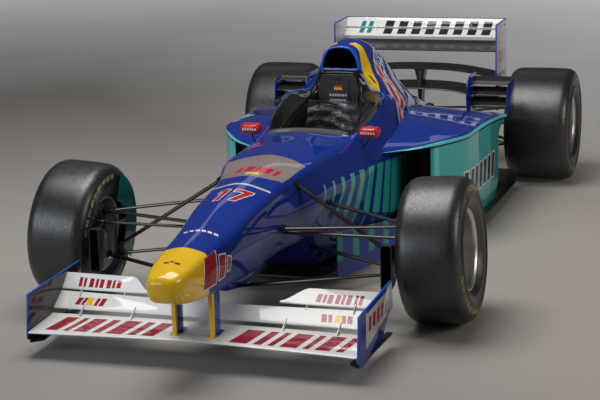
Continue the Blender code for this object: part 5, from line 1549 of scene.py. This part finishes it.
def rear_wing():
    """Plane, two flaps, two beams on a pillar, and endplates."""
    piece("rear_plane", wing(REAR_MAIN, 0.02, 0.01, 3), SHELL, ["rear_wing_main"], 50)
    flaps = [wing(REAR_FLAP, 0.008, 0.004, 3), wing(REAR_TOP, 0.008, 0.004, 3)]
    piece("rear_flap_set", flaps, REAR_PAINT, ["rear_wing_flaps"], 50)
    piece("rear_flap_brackets",
          [plate(rounded(REAR_BRACKET, 4), 0.006, "X", x) for x in (-0.3, 0.0, 0.3)], REAR_PAINT)
    rows = []
    for z, w in PILLAR:
        ring = rounded([(-w, 3.08, 0.008), (w, 3.08, 0.008), (w, 3.18, 0.012), (-w, 3.18, 0.012)], 5)
        rows.append([(p.x, p.y, z) for p in ring])
    beams = [wing(REAR_MID, 0.016, 0.006, 7), wing(REAR_LOW, 0.018, 0.006, 7), loft(eased(rows, 3))]
    piece("rear_beams", beams, DARK, ["rear_beam_wing"], 50)
    piece("rear_gurney", box((-0.4955, 3.2335, 0.896), (0.4955, 3.2365, 0.9045)), TRIM)
    board = plate(rounded(REAR_PLATE_OUTLINE, 6), 0.008, "X", 0.5, 0.0016)
    pair("rear_board", board, REAR_PLATE, "rear_endplate")
    pair("rear_bolts", [rod((0.5035, y, z), (0.5058, y, z), 0.004, 16) for y, z in REAR_BOLTS], BOLT,
         sharp=30)


WINGLET_OUTER = [(2.305, 0.48, 0.004), (2.515, 0.48, 0.006), (2.532, 0.56, 0.02), (2.535, 0.655, 0.008),
                 (2.345, 0.646, 0.012), (2.318, 0.56, 0.02)]
WINGLET_INNER = [
    (2.29, 0.48, 0.004), (2.5, 0.48, 0.004), (2.5, 0.69, 0.006), (2.33, 0.695, 0.02), (2.262, 0.66, 0.04),
    (2.24, 0.6, 0.04), (2.25, 0.535, 0.03),
]


def winglets():
    """Boxes of three blades ahead of the rear tyres."""
    outer = plate(rounded(WINGLET_OUTER, 5), 0.006, "X", 0.683, 0.0012)
    inner = plate(rounded(WINGLET_INNER, 6), 0.006, "X", 0.47, 0.0012)
    blades = []
    for k in range(3):
        y, z = 2.33 + 0.032 * k, 0.525 + 0.054 * k
        blades.append(loft([blade_ring(x, (y, z), (y + 0.095, z + 0.035), 0.008, 0.006)
                            for x in (0.473, 0.68)]))
    pair("winglet_plates", [outer, inner], PLATE_BLUE, "rear_winglet")
    pair("winglet_blades", blades, BRONZE, sharp=50)
    pair("winglet_foot", box((0.471, 2.3005, 0.4765), (0.6835, 2.345, 0.4835), 0.001), DARK)


# Front corners: kingpin, heights of the arms and of the track rod, and how far the steering arm reaches
KING_X = 0.715
UPPER_Z, LOWER_Z, ROD_Z, ARM = 0.415, 0.212, 0.386, 0.095
ARM_END = KING_X - 0.016
UPPER_PATHS = [
    [(0.15, -0.131, 0.41), (0.56, -0.0365, 0.4137), (ARM_END, -0.006, UPPER_Z)],
    [(0.2, 0.334, 0.428), (0.56, 0.1017, 0.4187), (ARM_END, 0.006, UPPER_Z)],
]
LOWER_PATHS = [
    [(0.01, -0.341, 0.203), (0.56, -0.074, 0.21), (ARM_END, -0.006, LOWER_Z)],
    [(0.08, 0.33, 0.225), (0.56, 0.08, 0.215), (ARM_END, 0.006, LOWER_Z)],
]
PUSH_PATH = [(0.155, 0.057, 0.581), (0.25, 0.0461, 0.52), (0.58, 0.0082, 0.3077),
             (KING_X - 0.064, 0.0, LOWER_Z + 0.05)]
# Where the arms meet the tub, and the way each of them leaves it
ARM_FEET = [
    ((0.1755, -0.127, 0.41), (0.5, -0.1, 0)), ((0.256, 0.3, 0.426), (0.6, -0.3, 0)),
    ((0.18, 0.0545, 0.566), (0.8, 0, -0.45)),
]
ARM_CHORDS = [0.036, 0.032, 0.024]
ARM_THICK = 0.0135


def ring_eye(z):
    """The eye of a wishbone round the kingpin."""
    bore, outer, half = 0.0089, 0.0188, 0.0098
    section = [(bore, half, 0.001), (outer, half, 0.0015), (outer, -half, 0.0015), (bore, -half, 0.001)]
    made = spun(section, 3, 32)
    made.transform(Matrix.Translation((KING_X, 0, z)))
    return made


def arm_foot(at, out):
    """A fairing on the tub round the end of an arm."""
    base = Vector(at)
    away = Vector(out).normalized()
    high = away.cross(Vector((0, 1, 0)))
    rings = []
    for t, r in ((-0.008, 0.021), (0.002, 0.02), (0.007, 0.014)):
        rings.append([base + away * t + Vector((0, math.cos(a) * r * 1.5, 0))
                      + high * math.sin(a) * r * 0.8 for a in circle(20)])
    return loft(rings)


def front_legs():
    """Front wishbones, pushrods, their bolts and the fairings on the tub."""
    tub = hull(TUB_ROWS, 0.0, 3, 4)
    keel = hull(KEEL_ROWS, 0.0, 2, 3)
    upper = [cut(strut(p, ARM_CHORDS, ARM_THICK, 20), tub) for p in UPPER_PATHS]
    upper.append(ring_eye(UPPER_Z))
    upper.append(box((KING_X - 0.04, -0.016, UPPER_Z - 0.0075), (KING_X - 0.012, 0.016, UPPER_Z + 0.0075),
                     0.003))
    pair("front_upper_arm", upper, STEEL, "front_upper_wishbone", 45)
    lower = [cut(strut(p, ARM_CHORDS, ARM_THICK, 20), tub, keel) for p in LOWER_PATHS]
    lower.append(ring_eye(LOWER_Z))
    lower.append(box((KING_X - 0.088, -0.034, LOWER_Z - 0.0055),
                     (KING_X - 0.015, 0.034, LOWER_Z + 0.0055), 0.004))
    lower.append(box((KING_X - 0.077, -0.011, LOWER_Z - 0.002), (KING_X - 0.052, 0.011, LOWER_Z + 0.059),
                     0.005))
    lower.append(cut(strut(PUSH_PATH, [0.02, 0.026, 0.026, 0.018], 0.0175, 20), tub))
    pair("front_lower_arm", lower, STEEL, "front_lower_wishbone", 45)
    nuts = []
    for x, y, low, high in ((KING_X - 0.026, 0.012, UPPER_Z + 0.007, UPPER_Z + 0.0095),
                            (KING_X - 0.034, 0.026, LOWER_Z + 0.005, LOWER_Z + 0.0085)):
        nuts += [rod((x, way * y, low), (x, way * y, high), 0.0045, 6) for way in (-1, 1)]
    pin_x, pin_z = KING_X - 0.0645, LOWER_Z + 0.044
    nuts.append(rod((pin_x, -0.0135, pin_z), (pin_x, 0.0135, pin_z), 0.006, 6))
    pair("front_arm_bolts", nuts, BOLT, sharp=30)
    pair("front_arm_feet", [arm_foot(at, out) for at, out in ARM_FEET], TRIM)


# Brake scoop: y, then inner and outer side from the kingpin, bottom and top
SCOOP_ROWS = [(-0.262, -0.079, -0.031, 0.2, 0.398), (-0.215, -0.078, -0.03, 0.208, 0.392),
              (-0.17, -0.07, -0.029, 0.238, 0.372), (-0.135, -0.062, -0.028, 0.262, 0.352)]
SHROUD_X = FRONT_X - 0.152


def upright(rows, x, y, inner, outer):
    """A lofted upright from rows of z and half width along the car."""
    rings = []
    for z, w, *deep in rows:
        d = deep[0] if deep else inner
        ring = rounded([(-d, -w, 0.006), (d + outer, -w, 0.006), (d + outer, w, 0.006), (-d, w, 0.006)],
                       4)
        rings.append([(x + p.x, y + p.y, z) for p in ring])
    return loft(eased(rings, 3))


def brake_scoop():
    """The open duct ahead of the front brake."""
    outside, inside = [], []
    for y, inner, outer, low, high in SCOOP_ROWS:
        ring = rounded([(KING_X + inner, low, 0.012), (KING_X + outer, low, 0.01),
                        (KING_X + outer, high, 0.01), (KING_X + inner, high, 0.012)], 6)
        outside.append([(p.x, y, p.y) for p in ring])
        mid = Vector((KING_X + (inner + outer) / 2, (low + high) / 2))
        back = y - (0.01 if y < -0.25 else 0.006)
        inside.append([(mid.x + (p.x - mid.x) * 0.84, back, mid.y + (p.y - mid.y) * 0.955) for p in ring])
    return cut(loft(eased(outside, 4)), loft(eased(inside, 4)))


def brake_shroud():
    """A thin crescent that covers the front of the disc, square to the leaning axle."""
    arc = [math.radians(-38 + 110 * k / 24) for k in range(25)]
    outline = [(0.272 * math.cos(a), 0.272 * math.sin(a)) for a in arc]
    outline += [(0.15 * math.cos(a), 0.15 * math.sin(a)) for a in reversed(arc)]
    made = plate(outline, 0.0025, "X", SHROUD_X)
    lean = Matrix.Translation((FRONT_X, 0, FRONT_Z)) @ Matrix.Rotation(-CAMBER, 4, "Y")
    made.transform(lean @ Matrix.Translation((-FRONT_X, 0, 0)))
    return made


def knuckles():
    """Front uprights with pins, stub axle and steering arm, and the brake parts that steer with them."""
    low, high = LOWER_Z + 0.0106, UPPER_Z - 0.0106
    centre = Vector((FRONT_X, 0, FRONT_Z))
    out = Vector((math.cos(CAMBER), 0, math.sin(CAMBER)))
    rows = [(low, 0.016, 0.015), (low + 0.014, 0.024), (FRONT_Z - 0.05, 0.04), (FRONT_Z, 0.044),
            (FRONT_Z + 0.04, 0.04), (high - 0.014, 0.022), (high, 0.016, 0.015)]
    arm_z = ROD_Z - 0.016
    arm_path = [(KING_X, 0.004, arm_z), (KING_X - 0.003, -0.05, arm_z), (KING_X - 0.004, -ARM, arm_z)]
    parts = [
        upright(rows, KING_X, 0, 0.016, 0.004),
        rod((KING_X, 0, LOWER_Z - 0.0098), (KING_X, 0, low + 0.01), 0.0079, 24),
        rod((KING_X, 0, high - 0.01), (KING_X, 0, UPPER_Z + 0.0098), 0.0079, 24),
        rod(centre - out * 0.126 / out.x, centre + out * 0.016, 0.0195, 40),
        strut(arm_path, [0.03, 0.024, 0.02], ARM_THICK, 20, lie=(1, 0, 0)),
        rod((KING_X - 0.004, -ARM, arm_z - 0.009), (KING_X - 0.004, -ARM, ROD_Z - 0.0092), 0.0148, 28),
        strut([(KING_X, 0, 0.3), (KING_X - 0.045, -0.15, 0.3)], 0.03, 0.016, 20),
    ]
    pair("front_upright", parts, CAST, "front_knuckle", 42, "front_knuckle")
    hose = tube([(KING_X - 0.044, -0.15, 0.32), (KING_X - 0.03, -0.095, 0.33),
                 (KING_X - 0.004, -0.06, 0.325), (KING_X + 0.012, -0.036, 0.318)], 0.024, 20, 6)
    pair("brake_scoop", [brake_scoop(), hose], DARK, sharp=42, body="front_knuckle")
    lug = rod((0.7, 0.03, FRONT_Z + 0.02), (0.691, 0.152, FRONT_Z + 0.02), 0.006, 12)
    pair("brake_shroud", [brake_shroud(), lug], SHROUD, sharp=42, body="front_knuckle")
    caliper = [box((0.742, -0.045, 0.39), (0.768, 0.045, 0.44), 0.007),
               box((0.73, -0.02, 0.35), (0.745, 0.02, 0.425), 0.005)]
    pair("caliper", caliper, CALIPER, body="front_knuckle")


def rack():
    """Steering rack and both track rods, one sliding body."""
    end_x = KING_X - 0.004
    rods = [rod((-0.11, -ARM, ROD_Z), (0.11, -ARM, ROD_Z), 0.0118, 32)]
    nuts, caps = [], []
    for side in (1, -1):
        stops = (0.1, 0.3, end_x - 0.04, end_x)
        rods.append(strut([(side * x, -ARM, ROD_Z) for x in stops], [0.014, 0.02, 0.02, 0.014], ARM_THICK,
                          20))
        rods.append(rod((side * end_x, -ARM, ROD_Z - 0.0082), (side * end_x, -ARM, ROD_Z + 0.0088),
                        0.0148, 28))
        nuts.append(rod((side * (end_x - 0.026), -ARM, ROD_Z), (side * (end_x - 0.016), -ARM, ROD_Z),
                        0.0095, 6))
        caps.append(rod((side * end_x, -ARM, ROD_Z + 0.0088), (side * end_x, -ARM, ROD_Z + 0.0094), 0.008,
                        6))
    piece("track_rods", rods, STEEL, ["steering_rack"], 42, "steering_rack")
    piece("track_rod_nuts", nuts + caps, BOLT, sharp=30, body="steering_rack")


REAR_UPRIGHT_X, REAR_UPPER_Z, REAR_LOWER_Z = 0.655, 0.44, 0.185
REAR_ARM_X = REAR_UPRIGHT_X - 0.0205
REAR_LEVELS = {
    "upper": ([(0.05, 2.7, 0.385), (0.45, 2.838, 0.4105)], [(0.05, 2.99, 0.385), (0.45, 2.928, 0.4105)],
              REAR_UPPER_Z - 0.02),
    "lower": ([(0.05, 2.48, 0.205), (0.45, 2.778, 0.202)], [(0.05, 2.985, 0.235), (0.45, 2.926, 0.21)],
              REAR_LOWER_Z + 0.015),
}


def rear_legs():
    """Rear uprights, wishbones, pull rods and calipers."""
    axle = WHEELBASE
    rows = [(REAR_LOWER_Z, 0.03), (REAR_LOWER_Z + 0.03, 0.034), (REAR_Z - 0.05, 0.055), (REAR_Z, 0.058),
            (REAR_Z + 0.05, 0.055), (REAR_UPPER_Z - 0.02, 0.034), (REAR_UPPER_Z, 0.03)]
    hub = rod((REAR_UPRIGHT_X - 0.02, axle, REAR_Z), (REAR_UPRIGHT_X + 0.0448, axle, REAR_Z), 0.0448, 48)
    block = cut(upright(rows, REAR_UPRIGHT_X, axle, 0.0198, 0.0), hub, kind="UNION")
    block = cut(block, rod((0.55, axle, REAR_Z), (0.75, axle, REAR_Z), 0.0159, 32))
    pair("rear_upright", block, CAST, "rear_knuckle", 42)
    gear = hull(GEARBOX_ROWS, 0.0, 2, 4)
    for level, (front, rear, z) in REAR_LEVELS.items():
        end = (REAR_ARM_X - 0.02, axle, z)
        arms = [cut(strut([*path, end], [0.034, 0.032, 0.026], ARM_THICK, 20), gear)
                for path in (front, rear)]
        arms.append(box((REAR_ARM_X - 0.045, axle - 0.02, z - 0.0115),
                        (REAR_ARM_X, axle + 0.02, z + 0.0115), 0.004))
        pair(f"rear_{level}_arm", arms, STEEL, f"rear_{level}_wishbone", 45)
    push = cut(strut([(0.07, 2.7, 0.395), (0.4, 2.815, 0.3), (0.59, 2.872, 0.225)], 0.024, 0.016, 20),
               gear)
    pair("rear_pull_rod", push, STEEL, sharp=45)
    caliper = [box((0.712, 2.855, 0.398), (0.754, 2.945, 0.446), 0.009),
               box((0.672, 2.88, 0.388), (0.716, 2.92, 0.436), 0.005)]
    pair("rear_caliper", caliper, CALIPER)


# Mirror shell: y, half width and half height
MIRROR_ROWS = [(0.7855, 0.02, 0.008), (0.7875, 0.034, 0.015), (0.7935, 0.044, 0.021),
               (0.805, 0.0485, 0.0245), (0.83, 0.05, 0.026), (0.842, 0.05, 0.026)]
MIRROR_X, MIRROR_Z = 0.3, 0.653
MIRROR_STALK = [(0.296, 0.82, 0.632), (0.293, 0.823, 0.612), (0.284, 0.827, 0.594), (0.268, 0.83, 0.581),
                (0.247, 0.833, 0.572)]


def mirror_plate(half_x, half_z, thick, y):
    """A plate with rounded corners across the back of the mirror."""
    corners = [(MIRROR_X + a * half_x, MIRROR_Z + b * half_z, 0.018) for a,
               b in ((-1, -1), (1, -1), (1, 1), (-1, 1))]
    return plate(rounded(corners, 8), thick, "Y", y)


def mirrors():
    """Mirror shells on stalks, with glass in a recess at the back."""
    rings = []
    for y, w, h in MIRROR_ROWS:
        ring = rounded([(-w, -h, h * 0.9), (w, -h, h * 0.9), (w, h, h * 0.9), (-w, h, h * 0.9)], 8)
        rings.append([(MIRROR_X + p.x, y, MIRROR_Z + p.y) for p in ring])
    shell = cut(loft(rings), mirror_plate(0.045, 0.021, 0.008, 0.842))
    pair("mirror_shell", shell, MIRROR, "mirror")
    pair("mirror_glass", mirror_plate(0.0445, 0.0205, 0.002, 0.8386), GLASS)
    pair("mirror_stalk", strut(MIRROR_STALK, 0.011, 0.0065, 14, 4), TRIM, sharp=45)


# Bargeboard: x, y, bottom and top
BARGE_ROWS = [(0.283, 0.3, 0.064, 0.288), (0.338, 0.43, 0.075, 0.28), (0.4, 0.59, 0.085, 0.27),
              (0.458, 0.76, 0.098, 0.258)]


def boards():
    """Curved bargeboards, each on two stays from the tub."""
    fine = eased([[(x, y, low), (x, y, high)] for x, y, low, high in BARGE_ROWS], 10)
    rings = []
    for k, (foot, top) in enumerate(fine):
        run = Vector(fine[min(k + 1, len(fine) - 1)][0]) - Vector(fine[max(k - 1, 0)][0])
        out = Vector((run.y, -run.x, 0)).normalized() * 0.0024
        foot, top = Vector(foot), Vector(top)
        half = Vector((0, 0, 0.0012))
        rings.append([foot + out + half, top + out - half, top, top - out - half, foot - out + half,
                      foot])
    pair("barge_skin", loft(rings), BOARD_PAINT, "bargeboard")
    tub = hull(TUB_ROWS, 0.0, 2, 3)
    stays = [cut(strut([(0.15, 0.5, 0.2), (0.36, 0.5, 0.2)], 0.02, 0.01, 16), tub),
             cut(strut([(0.15, 0.4, 0.09), (0.322, 0.4, 0.082)], 0.02, 0.008, 16), tub)]
    pair("barge_stays", stays, DARK, sharp=45)


GRIP_RADIUS = 0.115
WHEEL_LEAN = math.radians(18)
BUTTON_X = (-0.075, -0.05, 0.05, 0.075)


def steering_wheel():
    """A rim with finger grips and a flat bottom, a bar with buttons and a screen, and the column."""
    rows = []
    for angle in circle(72):
        s = math.sin(angle)
        flat = 1.0 - 0.18 * min(1.0, max(0.0, (-s - 0.45) / 0.3))
        middle = Vector((math.cos(angle), s * flat, 0)) * GRIP_RADIUS
        out = middle.normalized()
        grip = 0.0128 - 0.0015 * math.cos(angle * 16) * 0.2
        rows.append([middle + (out * math.cos(a) + Vector((0, 0, 1)) * math.sin(a)) * grip
                     for a in circle(16)])
    bar = rounded([(-0.104, -0.018, 0.01), (0.104, -0.018, 0.01), (0.104, 0.026, 0.014),
                   (-0.104, 0.026, 0.014)], 6)
    main = [loft(rows, True), plate(bar, 0.015, "Z", 0.0, 0.002),
            rod((0, 0, -0.165), (0, 0, 0.002), 0.0118, 24)]
    buttons = [rod((x, 0.004, 0.0075), (x, 0.004, 0.011), 0.0055, 20) for x in BUTTON_X]
    screen = box((-0.03, -0.01, 0.0072), (0.03, 0.018, 0.0088), 0.0006)
    place = Matrix.Translation((0.0, 0.915, 0.548)) @ Matrix.Rotation(-(math.pi / 2 - WHEEL_LEAN), 4, "X")
    for mesh in (*main, screen, *buttons):
        mesh.transform(place)
    piece("steering_grip", main, GRIP, ["steering_wheel"], 50, "steering_wheel")
    piece("steering_buttons", buttons, EDGE, body="steering_wheel")
    piece("steering_screen", screen, TRIM, body="steering_wheel")


nose()
tub_and_cockpit()
coaming()
seat()
headrest()
cover()
pods()
floor_parts()
powertrain()
front_wing()
rear_wing()
winglets()
front_legs()
knuckles()
rack()
rear_legs()
mirrors()
boards()
steering_wheel()


def stage():
    """A pale floor with painted light and shade: darker ahead of the car, warmer and lighter to its right,
    and glowing far from the car.
    """
    bm = bmesh.new()
    bmesh.ops.create_grid(bm, x_segments=1, y_segments=1, size=40)
    mesh = finished(bm, "floor")
    floor = bpy.data.objects.new("studio_floor", mesh)
    bpy.context.scene.collection.objects.link(floor)
    look = Look("studio_floor", 0.55)
    reach = (look.x * look.x + look.y * look.y).op("POWER", 0.5)
    # Far from the car the floor turns pale and glows: a painted glow that stands in for a bright wall.
    far = (look.noise(0.35, 2) * 2.0 + (reach - 3.0).most(look.y + look.x * 0.55)).above(8.5, 9.0)
    patch = look.noise(1.1, 4)
    # Random patches are the floor's own tone; darker ahead of the car and warmer and lighter to its right
    # are painted shade and painted light.
    tone = look.blend((0.4, 0.375, 0.345), ((0.33, 0.31, 0.29), patch.above(0.5, 0.5) * 0.35),
                      ((0.24, 0.22, 0.2), look.noise(420, 2).above(0.62, 0.12) * 0.3),
                      ((0.24, 0.235, 0.235), look.y.below(-0.8, 2.4) * 0.75),
                      ((0.56, 0.46, 0.4), look.x.above(1.7, 1.6) * 0.65), ((0.74, 0.75, 0.77), far))
    look.colour(tone)
    # The painted glow of the far floor, given as emission.
    glow = look.blend((0.0, 0.0, 0.0), ((0.78, 0.76, 0.74), far))
    look.tree.links.new(glow, look.shader.inputs["Emission Color"])
    look.shader.inputs["Emission Strength"].default_value = 0.45
    look.rough(patch * 0.25 + 0.38)
    look.bump(look.noise(300, 2), 0.0006, 0.3)
    mesh.materials.append(look.made)


def lamp(name, at, aim, size, power, colour):
    """A soft rectangular lamp turned towards a point."""
    data = bpy.data.lights.new(name, "AREA")
    data.shape = "RECTANGLE"
    data.size, data.size_y = size
    data.energy = power
    data.color = colour
    obj = bpy.data.objects.new(name, data)
    bpy.context.scene.collection.objects.link(obj)
    obj.location = at
    obj.rotation_mode = "QUATERNION"
    obj.rotation_quaternion = (Vector(aim) - Vector(at)).to_track_quat("-Z", "Y")


def light():
    """Four soft lamps and a dim, even surround."""
    lamp("overhead", (-0.6, -0.6, 4.8), (-0.2, 0.2, 0), (2.6, 3.6), 205, (1.0, 0.985, 0.96))
    lamp("front_left", (-3.6, -6.0, 2.4), (0, -0.3, 0.4), (4.4, 1.9), 120, (0.84, 0.91, 1.0))
    lamp("right_wall", (6.0, -1.0, 3.0), (0, 0.4, 0.4), (2.6, 2.2), 95, (1.0, 0.94, 0.88))
    lamp("back_strip", (-1.2, 6.2, 5.2), (0, 0.4, 0.4), (5.5, 0.9), 11, (0.92, 0.95, 1.0))
    world = bpy.data.worlds.new("studio")
    bpy.context.scene.world = world
    world.use_nodes = True
    back = world.node_tree.nodes["Background"]
    back.inputs["Color"].default_value = (0.93, 0.96, 1.0, 1)
    back.inputs["Strength"].default_value = 0.06


def camera():
    """The photograph's view, fitted in the axle frame at 600 x 400."""
    azimuth, elevation, roll, focal = 0.31452, 0.23222, -0.02631, 1609.65
    back = Vector((math.sin(azimuth) * math.cos(elevation), -math.cos(azimuth) * math.cos(elevation),
                   math.sin(elevation)))
    right = Vector((0, 0, 1)).cross(back).normalized()
    up = back.cross(right)
    across = right * math.cos(roll) + up * math.sin(roll)
    above = up * math.cos(roll) - right * math.sin(roll)
    data = bpy.data.cameras.new("camera")
    data.sensor_width = 36.0
    data.lens = 36.0 * focal / 600
    data.clip_end = 200
    obj = bpy.data.objects.new("camera", data)
    bpy.context.scene.collection.objects.link(obj)
    turn = Matrix((across, above, back)).transposed().to_4x4()
    obj.matrix_world = Matrix.Translation((2.31426, -6.47054 + SHIFT, 2.11684)) @ turn
    bpy.context.scene.camera = obj


stage()
light()
camera()
bpy.context.scene.view_settings.view_transform = "Standard"
